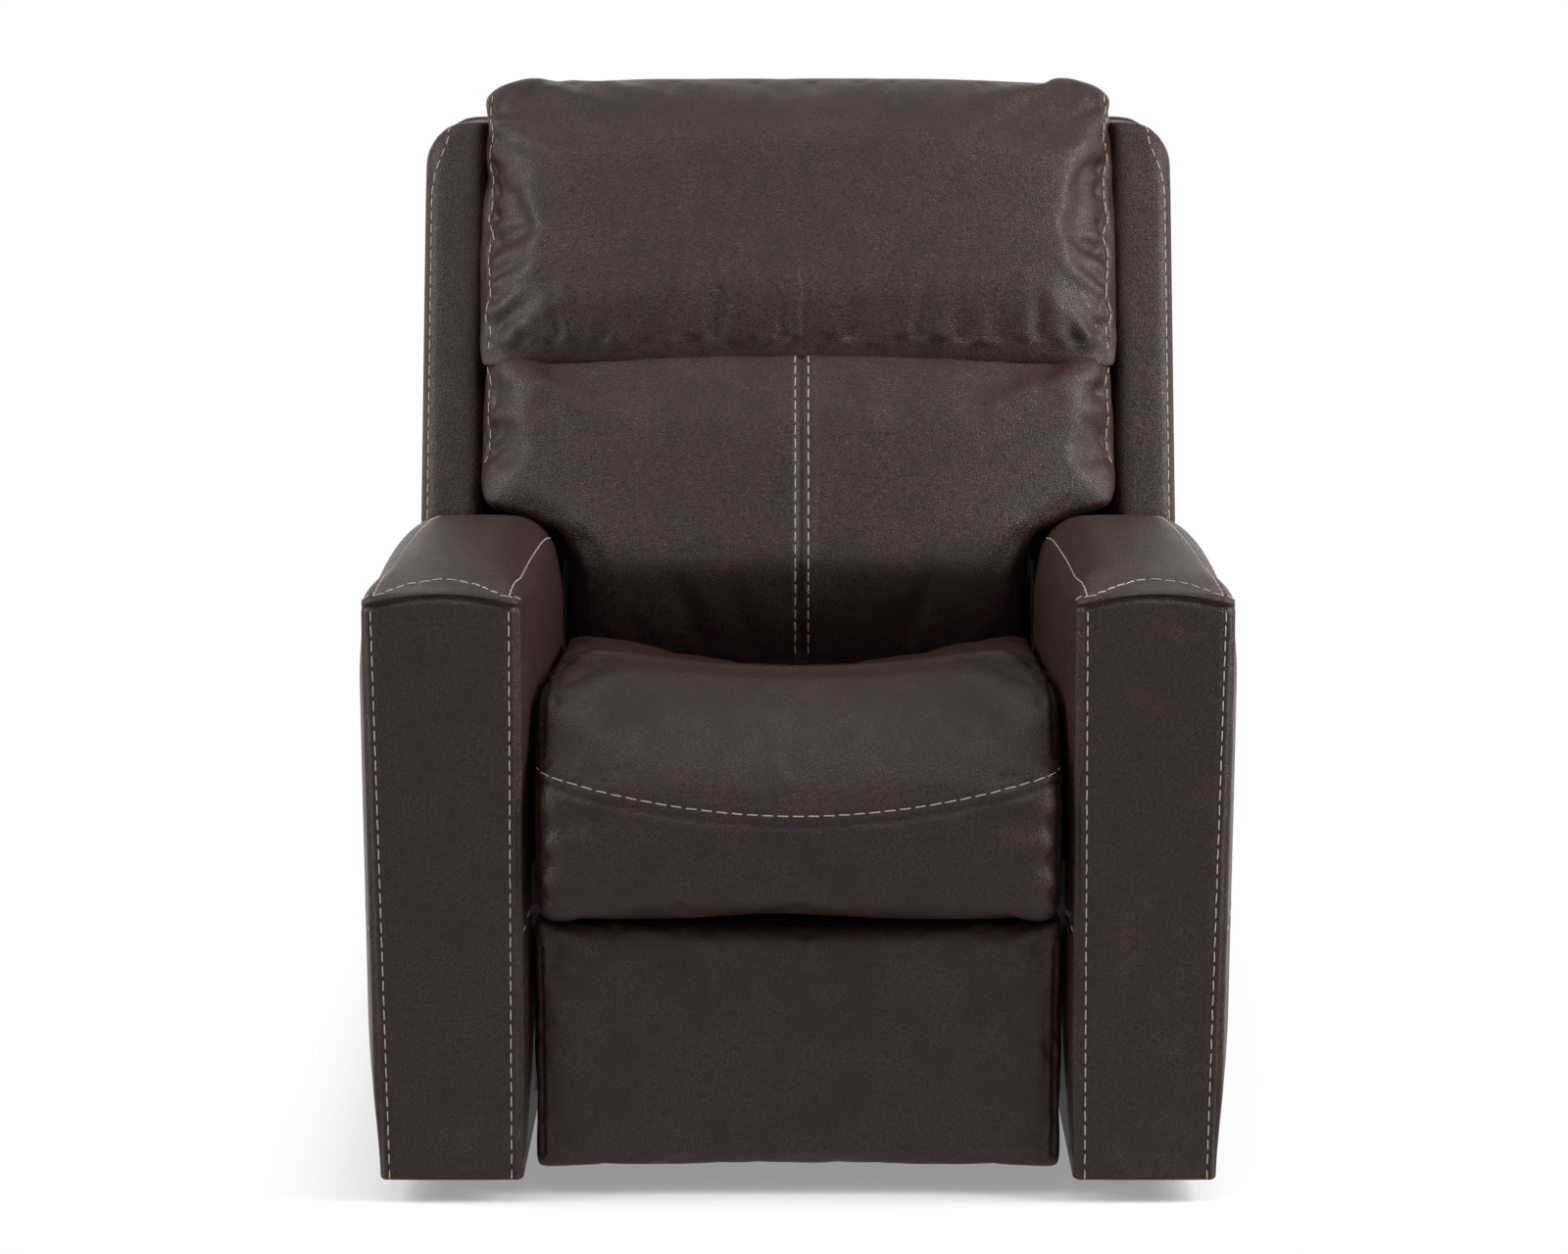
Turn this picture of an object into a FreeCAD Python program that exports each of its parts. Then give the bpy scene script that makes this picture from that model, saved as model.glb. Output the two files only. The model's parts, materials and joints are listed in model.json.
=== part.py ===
import FreeCAD, Part
import os
import re
import Sketcher

# A power recliner chair, built in millimetres.
# X runs across the chair, the sitter faces the negative Y direction and Z is up.
# Depths are counted backwards from the front of the arms, heights from the floor.

doc = FreeCAD.newDocument("recliner")

# The sizes that drive everything, each in a cell with a name of its own.
SIZES = [
    ("overall_width", 889),
    ("origin_depth", 500),
    ("floor_gap", 25),
    ("arm_width", 165.5),
    ("arm_length", 650),
    ("arm_top_padding", 62),
    ("arm_crest_depth", 250),
    ("arm_arch_radius", 1840),
    ("arm_top_round", 24),
    ("arm_front_round", 12),
    ("arm_padding", 18),
    ("arm_frame_height", 565),
    ("board_thick", 15),
    ("glide_radius", 14),
    ("glide_inset", 100),
    ("plate_thick", 4),
    ("link_gap", 1),
    ("link_radius", 10),
    ("stud_radius", 4),
    ("stud_clearance", 0.08),
    ("plate_front", 112),
    ("plate_rear_gap", 2),
    ("plate_slope", 90),
    ("plate_chin", 40),
    ("plate_boss", 20),
    ("stretcher_thick", 20),
    ("stretcher_tall", 100),
    ("stretcher_lift", 15),
    ("skirt_thick", 6),
    ("skirt_tall", 190),
    ("plate_low", 60),
    ("bolt_radius", 4),
    ("bolt_head_radius", 7),
    ("bolt_head_height", 5),
    ("bolt_clearance", 0.2),
    ("bolt_inset", 48),
    ("bolt_spread", 240),
    ("bolt_lift", 50),
    ("bolt_drop", 130),
    ("hip_depth", 203),
    ("hip_height", 223.5),
    ("knee_depth", 248.5),
    ("knee_height", 54),
    ("ankle_depth", 108),
    ("ankle_height", 209),
    ("guide_depth", 161.5),
    ("guide_height", 252.5),
    ("guide_share", 0.225),
    ("upper_guide_share", 0.2255),
    ("upper_guide_forward", 5.5),
    ("upper_guide_rise", 42),
    ("lower_guide_play", 3.8),
    ("upper_guide_play", 2.4),
    ("eye_wall", 3.5),
    ("torque_tube_radius", 10),
    ("crank_length", 45),
    ("crank_angle", 53.4),
    ("crank_pin_radius", 5),
    ("crank_thick", 8),
    ("footrest_front", 28),
    ("footrest_pad_thick", 50),
    ("footrest_board_thick", 12),
    ("footrest_board_inset", 3),
    ("footrest_low", 26),
    ("footrest_tall", 251),
    ("footrest_side_gap", 6.5),
    ("footrest_round", 14),
    ("bracket_drop", 60),
    ("bracket_cover", 12),
    ("seat_front", 6),
    ("seat_rear", 556),
    ("seat_side_gap", 3),
    ("seat_roll_low", 291),
    ("seat_roll_depth", 54),
    ("seat_roll_gap", 2),
    ("seat_base_height", 345),
    ("seat_crest_height", 511),
    ("seat_crest_depth", 150),
    ("seat_rear_height", 481),
    ("seat_dish_deep", 11),
    ("seat_dish_slope", 5.5),
    ("seat_dish_radius", 1500),
    ("seat_brow_depth", 60),
    ("seat_brow_drop", 8),
    ("seat_face_drop", 84),
    ("seat_round", 26),
    ("deck_thick", 5),
    ("rail_width", 36),
    ("rail_tall", 40),
    ("end_rail_thick", 30),
    ("spring_wire", 3.6),
    ("spring_wave", 44),
    ("spring_drop", 12),
    ("back_spring_inset", 20),
    ("crossbar_depth", 480),
    ("crossbar_thick", 25),
    ("crossbar_low", 150),
    ("crossbar_tall", 90),
    ("track_width", 30),
    ("track_tall", 12),
    ("carriage_length", 40),
    ("carriage_plate", 10),
    ("carriage_base", 8),
    ("carriage_cover", 8),
    ("carriage_tube_gap", 3),
    ("foot_track_run", 63),
    ("back_track_drop", 3),
    ("back_track_tail", 60),
    ("slide_clearance", 0.4),
    ("slot_clearance", 2.6),
    ("slot_end_gap", 1),
    ("recline_slot_clearance", 1),
    ("motor_length", 110),
    ("motor_tall", 60),
    ("control_box_gap", 75),
    ("control_box_width", 110),
    ("control_box_long", 70),
    ("control_box_tall", 55),
    ("inlet_radius", 5),
    ("inlet_deep", 14),
    ("inlet_at", 50),
    ("pivot_depth", 600),
    ("pivot_height", 330),
    ("back_lean", 19.5),
    ("pivot_tube_radius", 14),
    ("lug_length", 70),
    ("lug_angle", 19),
    ("lug_radius", 9),
    ("lug_thick", 8),
    ("lug_pin_tail", 2),
    ("back_bracket_half", 16),
    ("back_bracket_foot", 20),
    ("back_bracket_deep", 60),
    ("back_bracket_tall", 200),
    ("back_frame_front", 40),
    ("back_frame_deep", 75),
    ("back_panel_thick", 25),
    ("back_panel_low", 30),
    ("back_panel_top", 803),
    ("back_half_width", 433),
    ("wing_thick", 71),
    ("wing_front", 32),
    ("wing_top", 752),
    ("wing_low_height", 350),
    ("wing_bend_height", 605),
    ("arm_rear_gap", 12),
    ("wing_board_thick", 12),
    ("wing_corner", 50),
    ("wing_rear_drop", 8),
    ("wing_board_lift", 15),
    ("wing_board_drop", 15),
    ("post_width", 40),
    ("lower_rail_at", 45),
    ("back_rail_tall", 40),
    ("middle_rail_at", 440),
    ("middle_rail_tall", 60),
    ("top_rail_at", 735),
    ("top_rail_tall", 50),
    ("pillow_front", 130),
    ("lumbar_low", 140),
    ("lumbar_step", 295),
    ("lumbar_top", 448),
    ("lumbar_side_gap", 17),
    ("pillow_side_gap", 4),
    ("pillow_round", 30),
    ("headrest_round", 22),
    ("headrest_low", 468),
    ("headrest_top", 801),
    ("headrest_board_thick", 12),
    ("headrest_chin", 36),
    ("headrest_lip_drop", 6),
    ("headrest_lip_reach", 16),
    ("headrest_brow", 70),
    ("headrest_crown", 20),
    ("headrest_slope", 34),
    ("headrest_board_gap", 0.5),
    ("headrest_board_inset", 30),
    ("hinge_at", 458),
    ("hinge_forward", 95),
    ("hinge_spread", 150),
    ("hinge_width", 20),
    ("hinge_eye_radius", 7),
    ("hinge_side_gap", 1),
    ("hinge_lip", 6),
    ("hinge_foot", 16),
    ("knuckle_heel", 14),
    ("control_depth", 150),
    ("control_length", 128),
    ("control_height", 500),
    ("control_tall", 36),
    ("control_plate_thick", 3),
    ("control_pocket_deep", 11),
    ("control_pocket_margin", 4),
    ("control_margin", 8),
    ("button_size", 18),
    ("button_pitch", 24),
    ("button_gap", 0.4),
    ("button_proud", 2.2),
    ("button_flange", 1.5),
    ("button_lip", 1.5),
    ("usb_length", 14),
    ("usb_tall", 7),
    ("usb_deep", 6),
    ("usb_wall", 1),
    ("usb_mouth_deep", 4),
]

sheet = doc.addObject("Spreadsheet::Sheet", "Sizes")
for row, (alias, value) in enumerate(SIZES, start=1):
    sheet.set("A%d" % row, alias)
    sheet.set("B%d" % row, str(value))
    sheet.setAlias("B%d" % row, alias)
doc.recompute()

ALIASES = set(alias for alias, value in SIZES)
NAME = re.compile(r"[a-z]+(?:_[a-z]+)*")
NODES = []
EPS = 1e-4


def bind(text):
    """The same text with every size name pointing at the sheet."""
    return NAME.sub(lambda m: "Sizes." + m.group(0) if m.group(0) in ALIASES else m.group(0), str(text))


def number(text):
    """The present value of a size expression."""
    value = sheet.evalExpression(bind(text))
    return float(getattr(value, "Value", value))


def depth(text):
    """The Y position of a depth counted from the front of the arms."""
    return "((%s) - origin_depth)" % text


def leaning(up, back):
    """The Y and Z of a point of the leaning back: up along it and back through it, from its pivot."""
    y = "(%s + (%s) * cos(back_lean) + (%s) * sin(back_lean))" % (depth("pivot_depth"), back, up)
    z = "(pivot_height - (%s) * sin(back_lean) + (%s) * cos(back_lean))" % (back, up)
    return (y, z)


def origin_plane(body, role):
    for item in body.Origin.OriginFeatures:
        if item.Role == role:
            return item
    raise ValueError(role)


def new_sketch(body, role, start):
    sketch = body.newObject("Sketcher::SketchObject", "Profile")
    sketch.AttachmentSupport = (origin_plane(body, role), [""])
    sketch.MapMode = "FlatFace"
    sketch.AttachmentOffset = FreeCAD.Placement(FreeCAD.Vector(0, 0, number(start)), FreeCAD.Rotation())
    sketch.setExpression("AttachmentOffset.Base.z", bind(start))
    return sketch


def pin_point(sketch, geometry, position, point):
    """Ties one point of a sketch to its two size expressions."""
    for kind, text in (("DistanceX", point[0]), ("DistanceY", point[1])):
        index = sketch.addConstraint(Sketcher.Constraint(kind, -1, 1, geometry, position, number(text)))
        sketch.setExpression("Constraints[%d]" % index, bind(text))


def vector(point):
    return FreeCAD.Vector(number(point[0]), number(point[1]), 0)


def draw_polygon(sketch, points):
    first = None
    count = len(points)
    for i in range(count):
        line = Part.LineSegment(vector(points[i]), vector(points[(i + 1) % count]))
        index = sketch.addGeometry(line, False)
        if first is None:
            first = index
    for i in range(count):
        follower = first + (i + 1) % count
        sketch.addConstraint(Sketcher.Constraint("Coincident", first + i, 2, follower, 1))
    for i in range(count):
        pin_point(sketch, first + i, 1, points[i])


def draw_circle(sketch, centre, radius):
    circle = Part.Circle(vector(centre), FreeCAD.Vector(0, 0, 1), number(radius))
    index = sketch.addGeometry(circle, False)
    pin_point(sketch, index, 3, centre)
    size = sketch.addConstraint(Sketcher.Constraint("Radius", index, number(radius)))
    sketch.setExpression("Constraints[%d]" % size, bind(radius))


def draw_slot(sketch, start, end, radius):
    """A bar with round ends between two points."""
    a = vector(start)
    b = vector(end)
    r = number(radius)
    along = (b - a).normalize()
    side = FreeCAD.Vector(-along.y, along.x, 0)
    cap = sketch.addGeometry(Part.Arc(a + side * r, a - along * r, a - side * r), False)
    tip = sketch.addGeometry(Part.Arc(b - side * r, b + along * r, b + side * r), False)
    low = sketch.addGeometry(Part.LineSegment(a - side * r, b - side * r), False)
    high = sketch.addGeometry(Part.LineSegment(b + side * r, a + side * r), False)
    sketch.addConstraint(Sketcher.Constraint("Tangent", cap, 2, low, 1))
    sketch.addConstraint(Sketcher.Constraint("Tangent", low, 2, tip, 1))
    sketch.addConstraint(Sketcher.Constraint("Tangent", tip, 2, high, 1))
    sketch.addConstraint(Sketcher.Constraint("Tangent", high, 2, cap, 1))
    size = sketch.addConstraint(Sketcher.Constraint("Radius", cap, r))
    sketch.setExpression("Constraints[%d]" % size, bind(radius))
    pin_point(sketch, cap, 3, start)
    pin_point(sketch, tip, 3, end)


def pad(body, sketch, length):
    feature = body.newObject("PartDesign::Pad", "Pad")
    feature.Profile = sketch
    feature.Length = number(length)
    feature.setExpression("Length", bind(length))
    sketch.Visibility = False
    body.Tip = feature
    return feature


def new_body(label):
    body = doc.addObject("PartDesign::Body", label)
    body.Label = label
    return body


def across(label, points, start, width, holes=()):
    """A profile in the side view, given as Y and Z points, carried across the chair from X = start."""
    body = new_body(label)
    sketch = new_sketch(body, "YZ_Plane", start)
    draw_polygon(sketch, points)
    for centre, radius in holes:
        draw_circle(sketch, centre, radius)
    pad(body, sketch, width)
    return body


def bar(label, start_point, end_point, radius, start, width, holes=()):
    """A flat link with round ends, its holes cut in the same profile."""
    body = new_body(label)
    sketch = new_sketch(body, "YZ_Plane", start)
    draw_slot(sketch, start_point, end_point, radius)
    for centre, size in holes:
        draw_circle(sketch, centre, size)
    pad(body, sketch, width)
    return body


def stud(body, centre, radius, start, length):
    """A round pin added to a body, lying across the chair."""
    sketch = new_sketch(body, "YZ_Plane", start)
    draw_circle(sketch, centre, radius)
    pad(body, sketch, length)


def box(label, x, y, z, width, length, height):
    block = doc.addObject("Part::Box", label)
    block.Label = label
    for name, text in (("Length", width), ("Width", length), ("Height", height)):
        setattr(block, name, number(text))
        block.setExpression(name, bind(text))
    place(block, x, y, z)
    return block


def place(item, x, y, z):
    item.Placement.Base = FreeCAD.Vector(number(x), number(y), number(z))
    for name, text in (("x", x), ("y", y), ("z", z)):
        item.setExpression("Placement.Base." + name, bind(text))


def cylinder_across(label, x, y, z, radius, length):
    rod = doc.addObject("Part::Cylinder", label)
    rod.Label = label
    rod.Radius = number(radius)
    rod.setExpression("Radius", bind(radius))
    rod.Height = number(length)
    rod.setExpression("Height", bind(length))
    rod.Placement = FreeCAD.Placement(FreeCAD.Vector(), FreeCAD.Rotation(FreeCAD.Vector(0, 1, 0), 90))
    place(rod, x, y, z)
    return rod


def cylinder_up(label, x, y, z, radius, height):
    rod = doc.addObject("Part::Cylinder", label)
    rod.Label = label
    rod.Radius = number(radius)
    rod.setExpression("Radius", bind(radius))
    rod.Height = number(height)
    rod.setExpression("Height", bind(height))
    place(rod, x, y, z)
    return rod


def cylinder_along(label, x, y, z, radius, length, turn):
    """A cylinder that runs backwards, turned down from upright by an angle."""
    rod = cylinder_up(label, x, y, z, radius, length)
    rod.Placement.Rotation = FreeCAD.Rotation(FreeCAD.Vector(-1, 0, 0), number(turn))
    rod.setExpression("Placement.Rotation.Angle", bind(turn))
    return rod


def cut(label, base, tool):
    result = doc.addObject("Part::Cut", label)
    result.Label = label
    result.Base = base
    result.Tool = tool
    return result


def together(label, items):
    """Several separate solids kept in one node."""
    group = doc.addObject("Part::Compound", label)
    group.Label = label
    group.Links = items
    return group


def round_edges(body, radius, chosen):
    """Rounds the edges of a body's last feature that the test picks."""
    doc.recompute()
    base = body.Tip
    names = []
    for i, edge in enumerate(base.Shape.Edges, start=1):
        if chosen(edge):
            names.append("Edge%d" % i)
    feature = body.newObject("PartDesign::Fillet", "Rounding")
    feature.Base = (base, names)
    feature.Radius = number(radius)
    feature.setExpression("Radius", bind(radius))
    body.Tip = feature
    return feature


def runs_across(edge):
    """True for a straight edge that lies along X."""
    if len(edge.Vertexes) != 2:
        return False
    run = edge.Vertexes[1].Point - edge.Vertexes[0].Point
    return abs(run.y) < EPS and abs(run.z) < EPS


def keep(label, item):
    NODES.append((label, item))


# Positions that several pieces share.
HALF_GAP = "(overall_width / 2 - arm_width)"
PLANE = "(plate_thick + link_gap)"
PLATE_TOP = "(seat_base_height - deck_thick)"
PLATE_REAR = "(arm_length - stretcher_thick - plate_rear_gap)"
WING_INNER = "(back_half_width - wing_thick)"
SIDES = (("left", -1), ("right", 1))


def span(side, inner, thick):
    """The lower X of a piece that lies between inner and inner + thick on one side of the chair."""
    if side > 0:
        return "(%s)" % inner
    return "(-(%s) - (%s))" % (inner, thick)


def layer(number_in):
    """The inner X of the flat layers of the mechanism, counted inwards from the arm."""
    return "(%s - plate_thick - %d * %s)" % (HALF_GAP, number_in, PLANE)


HIP = (depth("hip_depth"), "hip_height")
KNEE = (depth("knee_depth"), "knee_height")
ANKLE = (depth("ankle_depth"), "ankle_height")
GUIDE = (depth("guide_depth"), "guide_height")
LOWER_GUIDE_END = (
    depth("knee_depth + guide_share * (ankle_depth - knee_depth)"),
    "(knee_height + guide_share * (ankle_height - knee_height))",
)
UPPER_GUIDE_START = (
    depth("knee_depth + upper_guide_share * (hip_depth - knee_depth)"),
    "(knee_height + upper_guide_share * (hip_height - knee_height))",
)
UPPER_GUIDE_END = (
    depth("ankle_depth - upper_guide_forward"),
    "(ankle_height + upper_guide_rise)",
)
BACK_PIVOT = (depth("pivot_depth"), "pivot_height")
RUNNING_HOLE = "(stud_radius + stud_clearance)"

# Bolts that hold each mechanism plate to its arm, as depth and height.
BOLTS = (
    (PLATE_REAR + " - bolt_inset", "plate_low + bolt_lift"),
    (PLATE_REAR + " - bolt_inset - bolt_spread", "plate_low + bolt_lift"),
    (PLATE_REAR + " - bolt_inset", "seat_base_height - bolt_drop"),
    (PLATE_REAR + " - bolt_inset - bolt_spread", "seat_base_height - bolt_drop"),
)
BOLT_REACH = "(plate_thick + arm_padding + board_thick)"

# Arms: a padded cover with an arched top over a box of boards.
glides = []
for name, side in SIDES:
    outer = box(
        name + "_arm_block",
        span(side, HALF_GAP, "arm_width"),
        depth("0"),
        "floor_gap",
        "arm_width",
        "arm_length",
        "arm_frame_height + arm_top_padding",
    )
    arch = cylinder_across(
        name + "_arm_arch",
        span(side, HALF_GAP, "arm_width"),
        depth("arm_crest_depth"),
        "floor_gap + arm_frame_height + arm_top_padding - arm_arch_radius",
        "arm_arch_radius",
        "arm_width",
    )
    arm = doc.addObject("Part::Common", name + "_arm_form")
    arm.Base = outer
    arm.Tool = arch
    doc.recompute()
    chosen = []
    front = number(depth("0"))
    for i, edge in enumerate(arm.Shape.Edges, start=1):
        box_of = edge.BoundBox
        on_top = box_of.ZMin > number("arm_frame_height + floor_gap") and box_of.YLength > number("arm_padding")
        on_front = box_of.YMax < front + EPS and box_of.XLength < EPS
        if on_top:
            chosen.append((i, number("arm_top_round"), number("arm_top_round")))
        elif on_front:
            chosen.append((i, number("arm_front_round"), number("arm_front_round")))
    rounded = doc.addObject("Part::Fillet", name + "_arm_rounded")
    rounded.Base = arm
    rounded.Edges = chosen
    inner_pad = HALF_GAP
    outer_pad = "overall_width / 2 - arm_padding"
    middle_pad = HALF_GAP + " + arm_padding"
    middle_width = "arm_width - 2 * arm_padding"
    full_length = "arm_length"
    end_pad = "arm_length - arm_padding"
    frame_top = "floor_gap + arm_frame_height"
    above_frame = "arm_top_padding"
    regions = (
        ("top", HALF_GAP, "0", frame_top, "arm_width", full_length, above_frame),
        ("inner", inner_pad, "0", "floor_gap", "arm_padding", full_length, "arm_frame_height"),
        ("outer", outer_pad, "0", "floor_gap", "arm_padding", full_length, "arm_frame_height"),
        ("front", middle_pad, "0", "floor_gap", middle_width, "arm_padding", "arm_frame_height"),
        ("rear", middle_pad, end_pad, "floor_gap", middle_width, "arm_padding", "arm_frame_height"),
    )
    pads = {}
    for where, low, back, height, width, length, tall in regions:
        region = box(
            "%s_arm_%s_region" % (name, where),
            span(side, low, width),
            depth(back),
            height,
            width,
            length,
            tall,
        )
        part = doc.addObject("Part::Common", "%s_arm_%s_pad" % (name, where))
        part.Base = rounded
        part.Tool = region
        pads[where] = part
    bolt_space = together(
        name + "_bolt_space",
        [
            cylinder_across(
                "%s_bolt_space_%d" % (name, i),
                span(side, HALF_GAP, "arm_padding + board_thick"),
                depth(back),
                height,
                "bolt_radius + bolt_clearance",
                "arm_padding + board_thick",
            )
            for i, (back, height) in enumerate(BOLTS)
        ],
    )
    pads["inner"] = cut(name + "_arm_inner_drilled", pads["inner"], bolt_space)
    if side < 0:
        pocket = box(
            "control_pocket",
            "-overall_width / 2",
            depth("control_depth + control_pocket_margin"),
            "control_height + control_pocket_margin",
            "control_pocket_deep",
            "control_length - 2 * control_pocket_margin",
            "control_tall - 2 * control_pocket_margin",
        )
        pads["outer"] = cut("left_arm_outer_pocketed", pads["outer"], pocket)
    keep(name + "_arm_cover", together(name + "_arm_cover", list(pads.values())))

    inner_x = HALF_GAP + " + arm_padding"
    outer_x = "overall_width / 2 - arm_padding - board_thick"
    board_length = "arm_length - 2 * arm_padding"
    between = "arm_width - 2 * arm_padding - 2 * board_thick"
    inner_board = box(
        name + "_arm_inner_blank",
        span(side, inner_x, "board_thick"),
        depth("arm_padding"),
        "floor_gap",
        "board_thick",
        board_length,
        "arm_frame_height",
    )
    inner_board = cut(name + "_arm_inner_board", inner_board, bolt_space)
    outer_board = box(
        name + "_arm_outer_board",
        span(side, outer_x, "board_thick"),
        depth("arm_padding"),
        "floor_gap",
        "board_thick",
        board_length,
        "arm_frame_height",
    )
    ends = []
    for end, start in (("front", "arm_padding"), ("rear", "arm_length - arm_padding - board_thick")):
        ends.append(
            box(
                "%s_arm_%s_board" % (name, end),
                span(side, inner_x + " + board_thick", between),
                depth(start),
                "floor_gap",
                between,
                "board_thick",
                "arm_frame_height",
            )
        )
    top_board = box(
        name + "_arm_top_board",
        span(side, inner_x + " + board_thick", between),
        depth("arm_padding + board_thick"),
        "floor_gap + arm_frame_height - board_thick",
        between,
        "arm_length - 2 * arm_padding - 2 * board_thick",
        "board_thick",
    )
    frame = together(name + "_arm_frame", [inner_board, outer_board, top_board] + ends)
    keep(name + "_arm_frame", frame)

    centre = "overall_width / 2 - arm_padding - board_thick / 2"
    centre = "(%d * (%s))" % (side, centre)
    for end, back in (("front", "glide_inset"), ("rear", "arm_length - glide_inset")):
        glide = cylinder_up("%s_%s_glide" % (name, end), centre, depth(back), "0", "glide_radius", "floor_gap")
        glides.append(glide)
keep("floor_glides", together("floor_glides", glides))

# Stretcher and skirt at the rear, between the arms.
INSIDE = "2 * " + HALF_GAP
rear_stretcher = box(
    "rear_stretcher",
    "-" + HALF_GAP,
    depth("arm_length - stretcher_thick"),
    "floor_gap + stretcher_lift",
    INSIDE,
    "stretcher_thick",
    "stretcher_tall",
)
keep("rear_stretcher", rear_stretcher)
rear_skirt = box(
    "rear_skirt",
    "-" + HALF_GAP,
    depth("arm_length"),
    "floor_gap",
    INSIDE,
    "skirt_thick",
    "skirt_tall",
)
keep("rear_skirt", rear_skirt)

# Mechanism plates bolted to the arms, each with its pivot studs.
bolts = []
for name, side in SIDES:
    x = span(side, layer(0), "plate_thick")
    outline = [
        (depth("plate_front"), "hip_height - plate_chin"),
        (depth("plate_front + plate_slope"), "plate_low"),
        (depth(PLATE_REAR), "plate_low"),
        (depth(PLATE_REAR), "pivot_height"),
        (depth("pivot_depth + plate_boss / 2"), "pivot_height + plate_boss"),
        (depth("pivot_depth - plate_boss"), "pivot_height + plate_boss"),
        (depth("pivot_depth - 2 * plate_boss"), PLATE_TOP),
        (depth("plate_front"), PLATE_TOP),
    ]
    holes = [((depth(back), height), "bolt_radius + bolt_clearance") for back, height in BOLTS]
    plate = across(name + "_mechanism_plate", outline, x, "plate_thick", holes)
    for centre, layers in ((GUIDE, 1), (HIP, 2), (BACK_PIVOT, 1)):
        reach = "%d * %s" % (layers, PLANE)
        stud(plate, centre, "stud_radius", span(side, layer(layers), reach), reach)
    keep(name + "_mechanism_plate", plate)

    for i, (back, height) in enumerate(BOLTS):
        label = "%s_bolt_%d" % (name, i)
        bolt = new_body(label)
        stud(bolt, (depth(back), height), "bolt_radius", span(side, layer(0), BOLT_REACH), BOLT_REACH)
        head = span(side, layer(0) + " - bolt_head_height", "bolt_head_height")
        stud(bolt, (depth(back), height), "bolt_head_radius", head, "bolt_head_height")
        bolts.append(bolt)
keep("plate_bolts", together("plate_bolts", bolts))

# Seat frame: two side rails, a front and a rear rail, springs and a deck.
RAIL_LOW = "(%s - rail_tall)" % PLATE_TOP
RAIL_INNER = "(%s - plate_thick - rail_width)" % HALF_GAP
RAIL_FRONT = "seat_front + seat_roll_depth + seat_roll_gap"
for name, side in SIDES:
    rail = box(
        name + "_seat_rail",
        span(side, RAIL_INNER, "rail_width"),
        depth(RAIL_FRONT),
        RAIL_LOW,
        "rail_width",
        "seat_rear - seat_front - seat_roll_depth - seat_roll_gap",
        "rail_tall",
    )
    keep(name + "_seat_rail", rail)
for end, start in (("front", RAIL_FRONT), ("rear", "seat_rear - end_rail_thick")):
    rail = box(
        "seat_%s_rail" % end,
        "-" + RAIL_INNER,
        depth(start),
        RAIL_LOW,
        "2 * " + RAIL_INNER,
        "end_rail_thick",
        "rail_tall",
    )
    keep("seat_%s_rail" % end, rail)


def zigzag(start, end, wave, wire, turns):
    """A flat spring of round wire that waves from side to side between two points of a side view."""
    first = FreeCAD.Vector(0, start[0], start[1])
    last = FreeCAD.Vector(0, end[0], end[1])
    along = (last - first) * (1.0 / turns)
    sideways = FreeCAD.Vector(wave / 2, 0, 0)
    points = [first, first + along * 0.08]
    for i in range(turns):
        swing = sideways if i % 2 == 0 else sideways * -1
        points.append(first + along * (i + 0.25) + swing)
        points.append(first + along * (i + 0.75) + swing)
    points.append(last - along * 0.08)
    points.append(last)
    rods = []
    for a, b in zip(points[:-1], points[1:]):
        rods.append(Part.makeCylinder(wire / 2, (b - a).Length, a, b - a))
    bends = [Part.makeSphere(wire / 2, p) for p in points[1:-1]]
    return rods[0].multiFuse(rods[1:] + bends)


def spring_row(label, start, end, places):
    wires = []
    for i, middle in enumerate(places):
        item = doc.addObject("Part::Feature", "%s_%d" % (label, i))
        item.Shape = zigzag(
            (number(start[0]), number(start[1])),
            (number(end[0]), number(end[1])),
            number("spring_wave"),
            number("spring_wire"),
            9,
        )
        place(item, middle, "0", "0")
        wires.append(item)
    return together(label, wires)


SPRING_HEIGHT = "(%s - spring_drop)" % PLATE_TOP
seat_springs = spring_row(
    "seat_springs",
    (depth(RAIL_FRONT + " + end_rail_thick"), SPRING_HEIGHT),
    (depth("seat_rear - end_rail_thick"), SPRING_HEIGHT),
    ["%s * %s" % (share, RAIL_INNER) for share in (-0.7, -0.35, 0, 0.35, 0.7)],
)
keep("seat_springs", seat_springs)

seat_deck = box(
    "seat_deck",
    "-(%s + rail_width)" % RAIL_INNER,
    depth(RAIL_FRONT),
    PLATE_TOP,
    "2 * (%s + rail_width)" % RAIL_INNER,
    "seat_rear - seat_front - seat_roll_depth - seat_roll_gap",
    "deck_thick",
)
keep("seat_deck", seat_deck)

# Seat cushion with a front roll that hangs over the front rail, dished across by a wide cylinder.
SEAT_HALF = "(%s - seat_side_gap)" % HALF_GAP
seat_block = across(
    "seat_block",
    [
        (depth("seat_front"), "seat_roll_low"),
        (depth("seat_front + seat_roll_depth"), "seat_roll_low"),
        (depth("seat_front + seat_roll_depth"), "seat_base_height"),
        (depth("seat_rear"), "seat_base_height"),
        (depth("seat_rear"), "seat_rear_height"),
        (depth("seat_crest_depth"), "seat_crest_height"),
        (depth("seat_front + seat_brow_depth"), "seat_crest_height - seat_brow_drop"),
        (depth("seat_front"), "seat_crest_height - seat_face_drop"),
    ],
    "-" + SEAT_HALF,
    "2 * " + SEAT_HALF,
)


def seat_corner(edge):
    """The long corners of the seat at its front and its upper rear."""
    if not runs_across(edge):
        return False
    point = edge.Vertexes[0].Point
    at_front = abs(point.y - number(depth("seat_front"))) < EPS
    at_rear = abs(point.y - number(depth("seat_rear"))) < EPS and point.z > number("seat_base_height") + EPS
    return at_front or at_rear


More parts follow.
